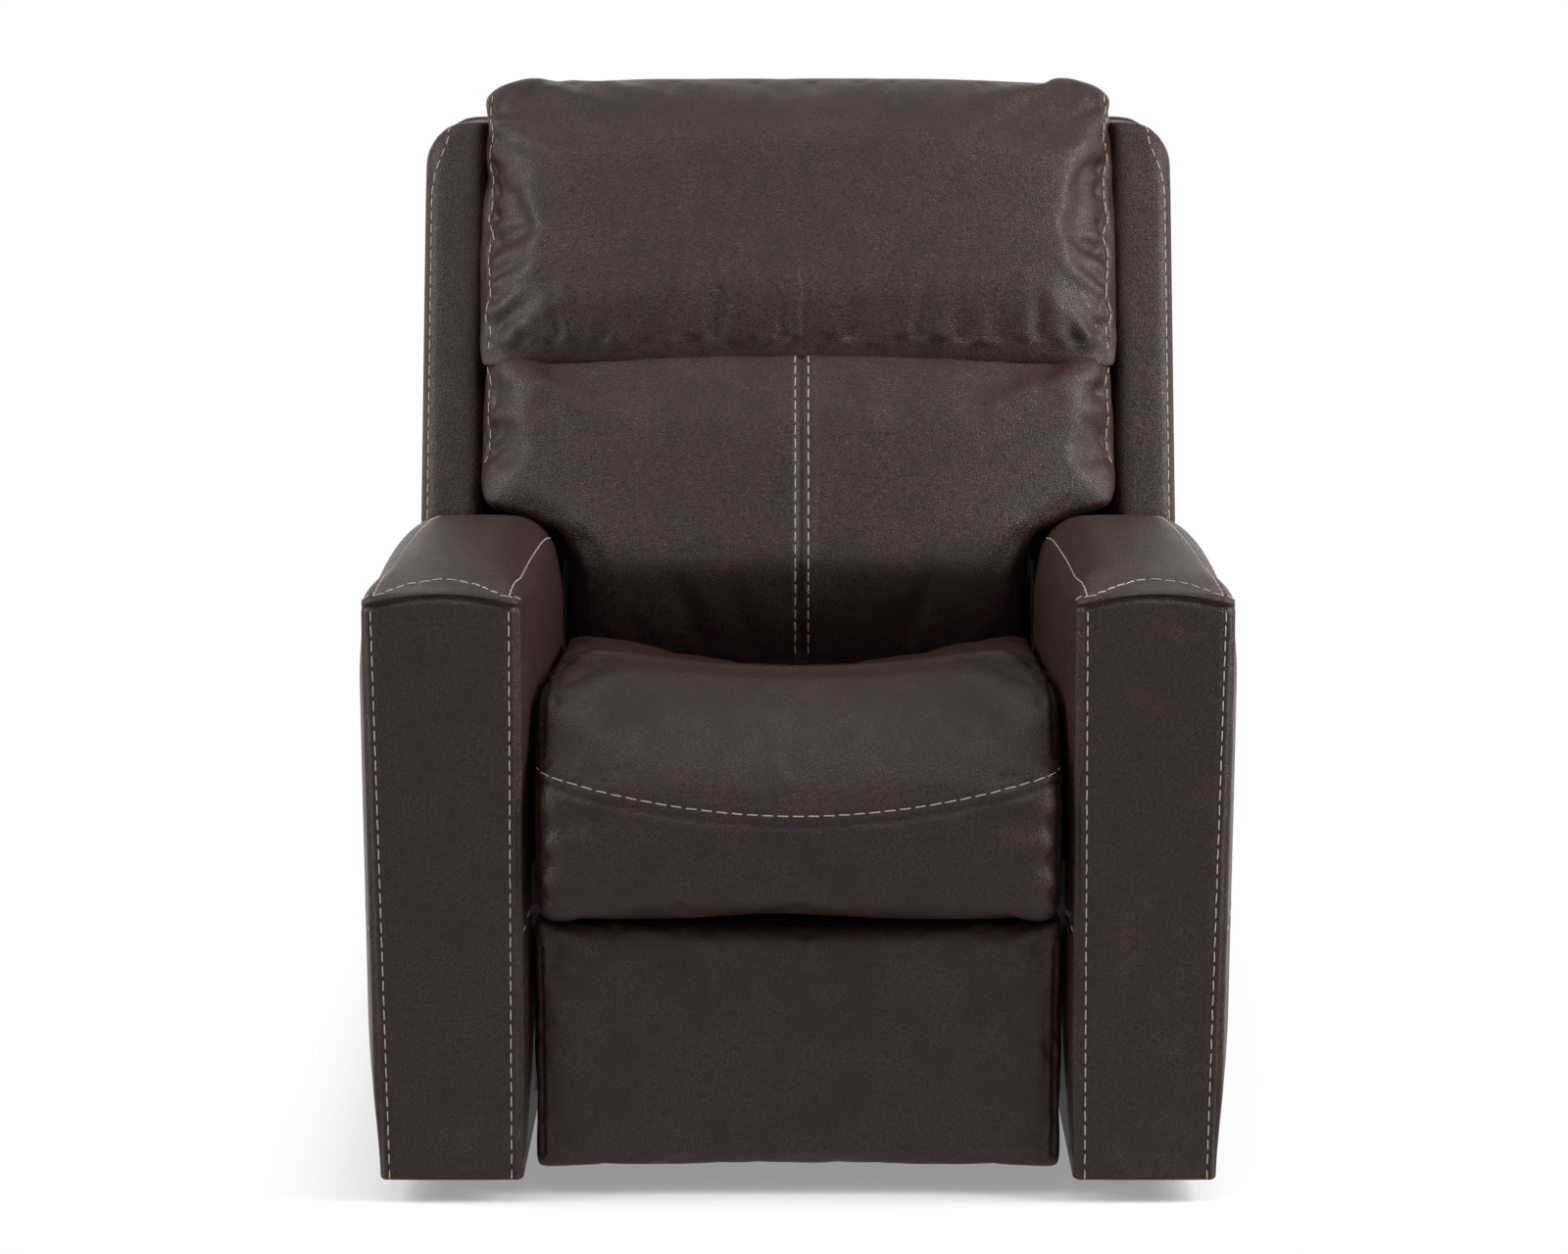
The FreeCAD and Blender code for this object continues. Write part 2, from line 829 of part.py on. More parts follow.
round_edges(seat_block, "seat_round", seat_corner)
DISH_FRONT = "(seat_crest_height - seat_dish_deep + (seat_crest_depth - seat_front) * tan(seat_dish_slope))"
seat_dish = cylinder_along(
    "seat_dish",
    "0",
    depth("seat_front + seat_dish_radius * sin(seat_dish_slope)"),
    DISH_FRONT + " + seat_dish_radius * cos(seat_dish_slope)",
    "seat_dish_radius",
    "(seat_rear - seat_front + seat_round) / cos(seat_dish_slope)",
    "90 + seat_dish_slope",
)
keep("seat_cushion", cut("seat_cushion", seat_block, seat_dish))

# Cross bar of the base with two tracks, each with a motor at its end.
PLATE_INNER = layer(0)
crossbar = box(
    "motor_crossbar",
    "-" + PLATE_INNER,
    depth("crossbar_depth"),
    "crossbar_low",
    "2 * " + PLATE_INNER,
    "crossbar_thick",
    "crossbar_tall",
)
keep("motor_crossbar", crossbar)

FOOT_TRACK_FRONT = "hip_depth - foot_track_run"
foot_track = box(
    "footrest_track",
    "carriage_plate",
    depth(FOOT_TRACK_FRONT),
    "crossbar_low",
    "track_width",
    "crossbar_depth - hip_depth + foot_track_run",
    "track_tall",
)
foot_motor = box(
    "footrest_motor",
    "carriage_plate + track_width",
    depth("crossbar_depth - motor_length"),
    "crossbar_low",
    "motor_tall",
    "motor_length",
    "motor_tall",
)
keep("footrest_track", foot_track)
keep("footrest_motor", foot_motor)
BACK_TRACK_LOW = "crossbar_low + crossbar_tall - track_tall - back_track_drop"
back_track = box(
    "recline_track",
    "-carriage_plate - track_width",
    depth("crossbar_depth + crossbar_thick"),
    BACK_TRACK_LOW,
    "track_width",
    "pivot_depth - crossbar_depth - crossbar_thick + back_track_tail",
    "track_tall",
)
back_motor = box(
    "recline_motor",
    "-carriage_plate - track_width - motor_tall",
    depth("crossbar_depth + crossbar_thick"),
    BACK_TRACK_LOW + " - motor_tall + track_tall",
    "motor_tall",
    "motor_length",
    "motor_tall",
)
keep("recline_track", back_track)
keep("recline_motor", back_motor)

CONTROL_BOX_X = "%s - control_box_gap - control_box_width" % PLATE_INNER
control_case = box(
    "control_box_case",
    CONTROL_BOX_X,
    depth("crossbar_depth + crossbar_thick"),
    "crossbar_low",
    "control_box_width",
    "control_box_long",
    "control_box_tall",
)
inlet = cylinder_up(
    "control_box_inlet",
    CONTROL_BOX_X + " + control_box_width / 2",
    depth("crossbar_depth + crossbar_thick + inlet_at"),
    "crossbar_low",
    "inlet_radius",
    "inlet_deep",
)
control_box = cut("control_box", control_case, inlet)
keep("control_box", control_box)

# Control panel on the outer face of the arm at the sitter's right hand.
PANEL_X = "(-overall_width / 2)"
PANEL_MIDDLE = "(control_height + control_tall / 2)"
BUTTON_NAMES = ("recline_button", "return_button", "headrest_up_button", "headrest_down_button")
panel = box(
    "control_panel_blank",
    PANEL_X + " - control_plate_thick",
    depth("control_depth"),
    "control_height",
    "control_plate_thick",
    "control_length",
    "control_tall",
)
windows = []
for i, label in enumerate(BUTTON_NAMES):
    start = "control_depth + control_margin + %d * button_pitch" % i
    windows.append(
        box(
            label + "_window",
            PANEL_X + " - control_plate_thick",
            depth(start),
            PANEL_MIDDLE + " - button_size / 2",
            "control_plate_thick",
            "button_size",
            "button_size",
        )
    )
USB_START = "control_depth + control_margin + 4 * button_pitch"
usb_window = box(
    "usb_window",
    PANEL_X + " - control_plate_thick",
    depth(USB_START),
    PANEL_MIDDLE + " - usb_tall / 2",
    "control_plate_thick",
    "usb_length",
    "usb_tall",
)
windows.append(usb_window)
control_panel = cut("control_panel", panel, together("panel_windows", windows))
keep("control_panel", control_panel)

usb_body = box(
    "usb_body",
    PANEL_X + " - control_plate_thick",
    depth(USB_START),
    PANEL_MIDDLE + " - usb_tall / 2",
    "control_plate_thick + usb_deep",
    "usb_length",
    "usb_tall",
)
usb_mouth = box(
    "usb_mouth",
    PANEL_X + " - control_plate_thick",
    depth(USB_START + " + usb_wall"),
    PANEL_MIDDLE + " - usb_tall / 2 + usb_wall",
    "control_plate_thick + usb_mouth_deep",
    "usb_length - 2 * usb_wall",
    "usb_tall - 2 * usb_wall",
)
usb_port = cut("usb_port", usb_body, usb_mouth)
keep("usb_port", usb_port)

for i, label in enumerate(BUTTON_NAMES):
    start = "control_depth + control_margin + %d * button_pitch" % i
    cap = box(
        label + "_cap",
        PANEL_X + " - control_plate_thick - button_proud",
        depth(start + " + button_gap"),
        PANEL_MIDDLE + " - button_size / 2 + button_gap",
        "control_plate_thick + button_proud + button_gap",
        "button_size - 2 * button_gap",
        "button_size - 2 * button_gap",
    )
    flange = box(
        label + "_flange",
        PANEL_X + " + button_gap",
        depth(start + " - button_lip"),
        PANEL_MIDDLE + " - button_size / 2 - button_lip",
        "button_flange",
        "button_size + 2 * button_lip",
        "button_size + 2 * button_lip",
    )
    button = doc.addObject("Part::Fuse", label)
    button.Label = label
    button.Base = cap
    button.Tool = flange
    keep(label, button)

# Footrest linkage: on each side a lower link, an upper link and two guides.
lower_guides = []
upper_guides = []
for name, side in SIDES:
    x = span(side, layer(2), "plate_thick")
    holes = [(HIP, RUNNING_HOLE)]
    lower = bar(name + "_lower_link", HIP, KNEE, "link_radius", x, "plate_thick", holes)
    stud(lower, KNEE, "stud_radius", span(side, layer(3), PLANE), PLANE)
    reach = "2 * " + PLANE
    stud(lower, UPPER_GUIDE_START, "stud_radius", span(side, layer(4), reach), reach)
    keep(name + "_lower_link", lower)

    x = span(side, layer(3), "plate_thick")
    holes = [(KNEE, RUNNING_HOLE)]
    upper = bar(name + "_upper_link", KNEE, ANKLE, "link_radius", x, "plate_thick", holes)
    outward = layer(3) + " + plate_thick"
    stud(upper, ANKLE, "stud_radius", span(side, outward, PLANE), PLANE)
    stud(upper, LOWER_GUIDE_END, "stud_radius", span(side, outward, reach), reach)
    keep(name + "_upper_link", upper)

    x = span(side, layer(1), "plate_thick")
    eye = "(stud_radius + lower_guide_play)"
    holes = [(GUIDE, RUNNING_HOLE), (LOWER_GUIDE_END, eye)]
    guide = bar(name + "_lower_guide", GUIDE, LOWER_GUIDE_END, eye + " + eye_wall", x, "plate_thick", holes)
    lower_guides.append(guide)

    x = span(side, layer(4), "plate_thick")
    eye = "(stud_radius + upper_guide_play)"
    holes = [(UPPER_GUIDE_START, RUNNING_HOLE), (UPPER_GUIDE_END, eye)]
    guide = bar(name + "_upper_guide", UPPER_GUIDE_START, UPPER_GUIDE_END, eye + " + eye_wall", x, "plate_thick", holes)
    upper_guides.append(guide)
keep("lower_guides", together("lower_guides", lower_guides))
keep("upper_guides", together("upper_guides", upper_guides))

# Torque tube between the lower links, with the crank that its carriage pushes.
TUBE_HALF = layer(2)
CRANK_PIN = (
    depth("hip_depth + crank_length * sin(crank_angle)"),
    "(hip_height - crank_length * cos(crank_angle))",
)
torque_tube = bar("torque_tube", HIP, CRANK_PIN, "torque_tube_radius", "-crank_thick / 2", "crank_thick")
stud(torque_tube, HIP, "torque_tube_radius", "-" + TUBE_HALF, "2 * " + TUBE_HALF)
stud(torque_tube, CRANK_PIN, "crank_pin_radius", "-crank_thick / 2", "crank_thick + 2 * carriage_plate")
keep("torque_tube", torque_tube)


def carriage(label, pin, track_top, low_side, plate_side, slot_low, slot_high, half_width, top):
    """A slider on its track with an upright slotted plate round a crank pin."""
    front = "(%s - carriage_length / 2)" % pin
    base = box(
        label + "_base",
        low_side,
        depth(front),
        track_top + " + slide_clearance",
        "track_width",
        "carriage_length",
        "carriage_base",
    )
    plate = box(
        label + "_plate",
        plate_side,
        depth(front),
        track_top + " + slide_clearance",
        "carriage_plate",
        "carriage_length",
        "%s - (%s) - slide_clearance" % (top, track_top),
    )
    body = doc.addObject("Part::Fuse", label + "_body")
    body.Base = base
    body.Tool = plate
    window = box(
        label + "_window",
        plate_side,
        depth("%s - (%s)" % (pin, half_width)),
        slot_low,
        "carriage_plate",
        "2 * (%s)" % half_width,
        "%s - (%s)" % (slot_high, slot_low),
    )
    return cut(label, body, window)


foot_carriage = carriage(
    "footrest_carriage",
    "(hip_depth + crank_length * sin(crank_angle))",
    "(crossbar_low + track_tall)",
    "carriage_plate",
    "carriage_plate",
    "hip_height - crank_length - crank_pin_radius - slot_end_gap",
    "hip_height - crank_length * cos(crank_angle) + crank_pin_radius + slot_end_gap",
    "crank_pin_radius + slot_clearance",
    "(hip_height - torque_tube_radius - carriage_tube_gap)",
)
keep("footrest_carriage", foot_carriage)
back_carriage = carriage(
    "recline_carriage",
    "(pivot_depth + lug_length * sin(lug_angle))",
    "(%s + track_tall)" % BACK_TRACK_LOW,
    "-carriage_plate - track_width",
    "-2 * carriage_plate",
    "pivot_height - lug_length - crank_pin_radius - slot_end_gap",
    "pivot_height - lug_length * cos(lug_angle) + crank_pin_radius + slot_end_gap",
    "crank_pin_radius + recline_slot_clearance",
    "(pivot_height - lug_length * cos(lug_angle) + crank_pin_radius + carriage_cover)",
)
keep("recline_carriage", back_carriage)

# Footrest: a pad on a board with two side brackets.
FOOT_HALF = "(%s - footrest_side_gap)" % HALF_GAP
PAD_BACK = "footrest_front + footrest_pad_thick"
BOARD_BACK = PAD_BACK + " + footrest_board_thick"
footrest_pad = across(
    "footrest_pad",
    [
        (depth("footrest_front"), "footrest_low"),
        (depth(PAD_BACK), "footrest_low"),
        (depth(PAD_BACK), "footrest_low + footrest_tall"),
        (depth("footrest_front"), "footrest_low + footrest_tall"),
    ],
    "-" + FOOT_HALF,
    "2 * " + FOOT_HALF,
)


def on_foot_face(edge):
    """The edges round the front face of the footrest."""
    return edge.BoundBox.YMax < number(depth("footrest_front")) + EPS


round_edges(footrest_pad, "footrest_round", on_foot_face)
keep("footrest_pad", footrest_pad)
footrest_board = box(
    "footrest_board",
    "-(%s - footrest_board_inset)" % FOOT_HALF,
    depth(PAD_BACK),
    "footrest_low + footrest_board_inset",
    "2 * (%s - footrest_board_inset)" % FOOT_HALF,
    "footrest_board_thick",
    "footrest_tall - 2 * footrest_board_inset",
)
keep("footrest_board", footrest_board)
for name, side in SIDES:
    x = span(side, layer(2), "plate_thick")
    outline = [
        (depth(BOARD_BACK), "ankle_height - bracket_drop"),
        (depth("ankle_depth"), "ankle_height - bracket_drop / 2"),
        (depth("ankle_depth + bracket_cover"), "ankle_height"),
        (depth("ankle_depth + bracket_cover / 2"), "ankle_height + upper_guide_rise + bracket_cover / 2"),
        (depth(BOARD_BACK), "ankle_height + upper_guide_rise + bracket_cover"),
    ]
    bracket = across(name + "_footrest_bracket", outline, x, "plate_thick", [(ANKLE, RUNNING_HOLE)])
    reach = "2 * " + PLANE
    stud(bracket, UPPER_GUIDE_END, "stud_radius", span(side, layer(4), reach), reach)
    keep(name + "_footrest_bracket", bracket)

# Back: brackets on the pivot studs, posts, rails and a pivot tube with its lug.
FRAME_REAR = "back_frame_front + back_frame_deep"
BRACKET_INNER = layer(1)
for name, side in SIDES:
    outline = [
        leaning("-back_bracket_foot", "-back_bracket_half"),
        leaning("-back_bracket_foot", "back_bracket_half"),
        leaning("lower_rail_at", "back_frame_front + back_bracket_deep"),
        leaning("lower_rail_at + back_bracket_tall", "back_frame_front + back_bracket_deep"),
        leaning("lower_rail_at + back_bracket_tall", "back_frame_front"),
        leaning("lower_rail_at", "back_frame_front - back_bracket_half"),
        leaning("back_bracket_foot", "-back_bracket_half"),
    ]
    x = span(side, BRACKET_INNER, "plate_thick")
    bracket = across(name + "_back_bracket", outline, x, "plate_thick", [(BACK_PIVOT, RUNNING_HOLE)])
    keep(name + "_back_bracket", bracket)

    outline = [
        leaning("lower_rail_at", "back_frame_front"),
        leaning("lower_rail_at", FRAME_REAR),
        leaning("middle_rail_at", FRAME_REAR),
        leaning("middle_rail_at", "back_frame_front"),
    ]
    x = span(side, BRACKET_INNER + " - post_width", "post_width")
    post = across(name + "_back_post", outline, x, "post_width")
    keep(name + "_back_post", post)

LUG_PIN = (
    depth("pivot_depth + lug_length * sin(lug_angle)"),
    "(pivot_height - lug_length * cos(lug_angle))",
)
pivot_tube = bar("back_pivot_tube", BACK_PIVOT, LUG_PIN, "lug_radius", "-lug_thick", "lug_thick")
stud(pivot_tube, BACK_PIVOT, "pivot_tube_radius", "-" + BRACKET_INNER, "2 * " + BRACKET_INNER)
stud(pivot_tube, LUG_PIN, "crank_pin_radius", "-2 * carriage_plate - lug_pin_tail", "2 * carriage_plate")
keep("back_pivot_tube", pivot_tube)

POST_INNER = "(%s - post_width)" % BRACKET_INNER
UPPER_INNER = "(%s - wing_board_thick)" % WING_INNER
RAILS = (
    ("back_lower_rail", "lower_rail_at", "back_rail_tall", POST_INNER),
    ("back_middle_rail", "middle_rail_at", "middle_rail_tall", UPPER_INNER),
    ("back_top_rail", "top_rail_at", "top_rail_tall", UPPER_INNER),
)
for label, low, tall, half in RAILS:
    outline = [
        leaning(low, "back_frame_front"),
        leaning(low, FRAME_REAR),
        leaning("%s + %s" % (low, tall), FRAME_REAR),
        leaning("%s + %s" % (low, tall), "back_frame_front"),
    ]
    rail = across(label, outline, "-" + half, "2 * " + half)
    keep(label, rail)

back_springs = spring_row(
    "back_springs",
    leaning("lower_rail_at + back_rail_tall", "back_frame_front + back_spring_inset"),
    leaning("middle_rail_at", "back_frame_front + back_spring_inset"),
    ["%s * %s" % (share, POST_INNER) for share in (-0.66, -0.22, 0.22, 0.66)],
)
keep("back_springs", back_springs)

# Wings beside the pillows, on boards, and the outer panel behind everything.
wing_boards = []


def wing_shoulder(edge):
    """The upper outer corner of a wing or of the outer panel, an edge that runs through it."""
    space = edge.BoundBox
    outside = abs(max(abs(space.XMin), abs(space.XMax)) - number("back_half_width")) < EPS
    level = leaning("wing_top - 10", FRAME_REAR + " + back_panel_thick")[1]
    return outside and space.XLength < EPS and space.ZMin > number(level)


for name, side in SIDES:
    outline = [
        leaning("lumbar_step + wing_board_lift", "back_frame_front"),
        leaning("lumbar_step + wing_board_lift", FRAME_REAR),
        leaning("back_panel_top - wing_board_drop", FRAME_REAR),
        leaning("top_rail_at + top_rail_tall", "back_frame_front"),
    ]
    x = span(side, UPPER_INNER, "wing_board_thick")
    board = across(name + "_wing_board", outline, x, "wing_board_thick")
    wing_boards.append(board)

    rear_foot = "(wing_low_height - pivot_height + (%s) * sin(back_lean)) / cos(back_lean)" % FRAME_REAR
    outline = [
        (depth("arm_length + arm_rear_gap"), "wing_low_height"),
        leaning(rear_foot, FRAME_REAR),
        leaning("back_panel_top - wing_rear_drop", FRAME_REAR),
        leaning("wing_top", "-wing_front"),
        (depth("arm_length + arm_rear_gap"), "wing_bend_height"),
    ]
    x = span(side, WING_INNER, "wing_thick")
    wing = across(name + "_wing", outline, x, "wing_thick")
    round_edges(wing, "wing_corner", wing_shoulder)
    keep(name + "_wing", wing)
keep("wing_boards", together("wing_boards", wing_boards))

outer_back = across(
    "outer_back_panel",
    [
        leaning("back_panel_low", FRAME_REAR),
        leaning("back_panel_low", FRAME_REAR + " + back_panel_thick"),
        leaning("back_panel_top", FRAME_REAR + " + back_panel_thick"),
        leaning("back_panel_top", FRAME_REAR),
    ],
    "-back_half_width",
    "2 * back_half_width",
)
round_edges(outer_back, "wing_corner", wing_shoulder)
keep("outer_back_panel", outer_back)


# Pillows: drawn from the front in the leaning plane and padded through it.
def leaning_body(label):
    body = new_body(label)
    body.Placement = FreeCAD.Placement(
        FreeCAD.Vector(), FreeCAD.Rotation(FreeCAD.Vector(-1, 0, 0), number("back_lean"))
    )
    place(body, "0", depth("pivot_depth"), "pivot_height")
    body.setExpression("Placement.Rotation.Angle", bind("back_lean"))
    return body


LUMBAR_HALF = "(%s - lumbar_side_gap)" % HALF_GAP
PILLOW_HALF = "(%s - pillow_side_gap)" % WING_INNER
lumbar = leaning_body("lumbar_cushion")
sketch = new_sketch(lumbar, "XZ_Plane", "-back_frame_front")
draw_polygon(
    sketch,
    [
        ("-" + LUMBAR_HALF, "lumbar_low"),
        (LUMBAR_HALF, "lumbar_low"),
        (LUMBAR_HALF, "lumbar_step"),
        (PILLOW_HALF, "lumbar_step"),
        (PILLOW_HALF, "lumbar_top"),
        ("-" + PILLOW_HALF, "lumbar_top"),
        ("-" + PILLOW_HALF, "lumbar_step"),
        ("-" + LUMBAR_HALF, "lumbar_step"),
    ],
)
pad(lumbar, sketch, "pillow_front + back_frame_front")
round_edges(lumbar, "pillow_round", lambda edge: edge.BoundBox.YMax < EPS - number("pillow_front"))
keep("lumbar_cushion", lumbar)

BOARD_FRONT = "(back_frame_front - headrest_board_thick)"
TOP_SLOPE = "(headrest_top - headrest_slope)"
LIP_LOW = "(headrest_low - headrest_lip_drop)"
headrest = across(
    "headrest_cushion",
    [
        leaning("headrest_low + headrest_board_thick", BOARD_FRONT),
        leaning("headrest_low + headrest_board_thick", "-(hinge_forward + hinge_lip)"),
        leaning("headrest_low", "-(hinge_forward + hinge_lip)"),
        leaning(LIP_LOW, "-(hinge_forward + headrest_lip_reach)"),
        leaning("headrest_low + headrest_board_thick + headrest_chin", "-pillow_front"),
        leaning("headrest_top - headrest_brow", "-pillow_front"),
        leaning("headrest_top", "-(pillow_front - headrest_brow)"),
        leaning("headrest_top", "-headrest_crown"),
        leaning(TOP_SLOPE, BOARD_FRONT),
    ],
    "-" + PILLOW_HALF,
    "2 * " + PILLOW_HALF,
)


def headrest_rim(edge):
    """The edges of the headrest that a sitter sees, away from its board."""
    space = edge.BoundBox
    board = leaning("headrest_low + headrest_board_thick", "-(hinge_forward + hinge_lip)")
    rear = leaning("headrest_top", "-headrest_crown")
    return space.YMax < number(rear[0]) + EPS and space.ZMax > number(board[1]) + EPS


round_edges(headrest, "headrest_round", headrest_rim)
keep("headrest_cushion", headrest)

headrest_board = across(
    "headrest_board",
    [
        leaning("headrest_low", "back_frame_front - headrest_board_gap"),
        leaning("headrest_low", "-(hinge_forward + hinge_lip)"),
        leaning("headrest_low + headrest_board_thick", "-(hinge_forward + hinge_lip)"),
        leaning("headrest_low + headrest_board_thick", BOARD_FRONT),
        leaning(TOP_SLOPE, BOARD_FRONT),
        leaning(TOP_SLOPE, "back_frame_front - headrest_board_gap"),
    ],
    "-(%s - headrest_board_inset)" % PILLOW_HALF,
    "2 * (%s - headrest_board_inset)" % PILLOW_HALF,
)
keep("headrest_board", headrest_board)

# Hinges of the headrest: arms on the middle rail, knuckles with pins under the headrest board.
HINGE = leaning("hinge_at", "-hinge_forward")
arms = []
knuckles = []
for name, side in SIDES:
    middle = "(%d * hinge_spread)" % side
    tip = leaning("hinge_at", "back_frame_front - hinge_foot / 2")
    arm = bar(
        name + "_hinge_arm",
        HINGE,
        tip,
        "hinge_eye_radius",
        middle + " - hinge_width / 2",
        "hinge_width",
        [(HINGE, RUNNING_HOLE)],
    )
    foot = new_sketch(arm, "YZ_Plane", middle + " - hinge_width / 2")
    draw_polygon(
        foot,
        [
            leaning("hinge_at - hinge_lip", "back_frame_front - hinge_foot"),
            leaning("hinge_at + hinge_lip", "back_frame_front - hinge_foot"),
            leaning("hinge_at + hinge_lip", "back_frame_front"),
            leaning("hinge_at - hinge_lip", "back_frame_front"),
        ],
    )
    pad(arm, foot, "hinge_width")
    arms.append(arm)

    knuckle = new_body(name + "_knuckle")
    for end in (-1, 1):
        start = "%s + %d * (hinge_width + hinge_side_gap) - hinge_width / 2" % (middle, end)
        cheek = new_sketch(knuckle, "YZ_Plane", start)
        draw_polygon(
            cheek,
            [
                leaning("hinge_at - hinge_lip", "-(hinge_forward + hinge_lip)"),
                leaning("hinge_at - hinge_lip", "-(hinge_forward - hinge_lip)"),
                leaning("headrest_low", "-(hinge_forward - knuckle_heel)"),
                leaning("headrest_low", "-(hinge_forward + hinge_lip)"),
            ],
        )
        pad(knuckle, cheek, "hinge_width")
        if end < 0:
            pin_start = middle + " - 1.5 * hinge_width - hinge_side_gap"
            stud(knuckle, HINGE, "stud_radius", pin_start, "3 * hinge_width + 2 * hinge_side_gap")
    knuckles.append(knuckle)
keep("headrest_hinge_arms", together("headrest_hinge_arms", arms))
keep("headrest_knuckles", together("headrest_knuckles", knuckles))

doc.recompute()
os.makedirs("parts", exist_ok=True)
for item in doc.Objects:
    if "Invalid" in item.State or "Error" in item.State:
        raise RuntimeError("%s does not build: %s" % (item.Label, item.State))
for label, item in NODES:
    shape = item.Shape
    if shape.isNull() or not shape.isValid() or not shape.Solids:
        raise RuntimeError("%s has no valid solid" % label)
    shape.exportStep(os.path.join("parts", label + ".step"))
print("%d pieces written" % len(NODES))
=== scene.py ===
# %% [markdown]
# A leather power recliner, dressed piece by piece.
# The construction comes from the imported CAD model, which stays where it is.
# This lesson adds what a camera sees: stuffed leather covers, seams, thread, metal, plastic and light.

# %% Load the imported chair
import json
import math
import random

import bmesh
import bpy
import numpy as np
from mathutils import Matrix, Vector
from mathutils.bvhtree import BVHTree


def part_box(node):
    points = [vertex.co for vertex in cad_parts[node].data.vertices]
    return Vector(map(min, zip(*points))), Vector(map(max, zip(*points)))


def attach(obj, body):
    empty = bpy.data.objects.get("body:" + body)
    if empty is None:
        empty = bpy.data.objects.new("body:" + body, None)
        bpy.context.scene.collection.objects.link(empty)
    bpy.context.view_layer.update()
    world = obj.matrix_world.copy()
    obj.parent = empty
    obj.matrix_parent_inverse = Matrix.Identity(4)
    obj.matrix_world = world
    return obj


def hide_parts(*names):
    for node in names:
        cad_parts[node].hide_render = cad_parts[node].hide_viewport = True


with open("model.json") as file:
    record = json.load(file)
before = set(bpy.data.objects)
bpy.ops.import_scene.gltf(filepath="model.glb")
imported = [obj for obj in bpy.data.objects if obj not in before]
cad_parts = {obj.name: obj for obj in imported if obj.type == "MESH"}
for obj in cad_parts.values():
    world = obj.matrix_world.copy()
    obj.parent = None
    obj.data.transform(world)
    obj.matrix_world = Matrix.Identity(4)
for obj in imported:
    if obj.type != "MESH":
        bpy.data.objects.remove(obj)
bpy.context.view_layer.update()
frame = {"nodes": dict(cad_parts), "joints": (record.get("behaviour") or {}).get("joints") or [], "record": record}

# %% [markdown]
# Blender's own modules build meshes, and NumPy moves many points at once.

scene = bpy.context.scene

# %% [markdown]
# The back of the chair leans, so its pieces are easier to shape upright.
# Two small functions go from the room to the leaning back and return: across, back from the pivot, up.
# The pivot is the recline joint of the CAD model.

# %% Upright and leaning
BACK_LEAN = math.radians(19.5)
pivot = next(j["pos_m"] for j in frame["joints"] if j["name"] == "back_recline")


def upright(points):
    y, z = points[:, 1] - pivot[1], points[:, 2] - pivot[2]
    back = y * math.cos(BACK_LEAN) - z * math.sin(BACK_LEAN)
    up = y * math.sin(BACK_LEAN) + z * math.cos(BACK_LEAN)
    return np.column_stack((points[:, 0], back, up))


def leaning(points):
    back, up = points[:, 1], points[:, 2]
    y = pivot[1] + up * math.sin(BACK_LEAN) + back * math.cos(BACK_LEAN)
    z = pivot[2] + up * math.cos(BACK_LEAN) - back * math.sin(BACK_LEAN)
    return np.column_stack((points[:, 0], y, z))


print("the back leans", round(math.degrees(BACK_LEAN), 1), "degrees about", [round(v, 3) for v in pivot])

# %% [markdown]
# Every finish is built from nodes. One function turns a colour written as in a paint program to linear light.
# Another adds a node, sets it and wires it, so that each material reads as a short recipe.
# Nodes could be wired by hand, but a script can be read, changed and run again.

# %% Colour and node helpers
def linear(code):
    channels = [int(code[i : i + 2], 16) / 255 for i in (1, 3, 5)]
    bright = [c / 12.92 if c <= 0.04045 else ((c + 0.055) / 1.055) ** 2.4 for c in channels]
    return (*bright, 1.0)


def add(tree, kind, inputs=None, **settings):
    node = tree.nodes.new(kind)
    for key, value in settings.items():
        setattr(node, key, value)
    for key, value in (inputs or {}).items():
        if isinstance(value, bpy.types.NodeSocket):
            tree.links.new(value, node.inputs[key])
        else:
            node.inputs[key].default_value = value
    return node


def new_material(name):
    material = bpy.data.materials.new(name)
    material.use_nodes = True
    material.node_tree.nodes.clear()
    return material, material.node_tree


print("mid grey in linear light", round(linear("#808080")[0], 3))

# %% [markdown]
# The cover is corrected-grain cow leather, dyed dark brown and embossed with a pebble grain.
# The eye sees small plateaus two or three millimetres wide between darker creases, soft cloudy patches in the dye,
# and a satin gloss that breaks up on the grain. A scanned image would tile, so Voronoi cells give the plateaus
# and noise gives the clouds.

# %% Leather
# Widths in metres: a pebble of the grain, a cloud in the dye, a pore.
PEBBLE = 0.0029
CLOUD = 0.045
PORE = 0.0011


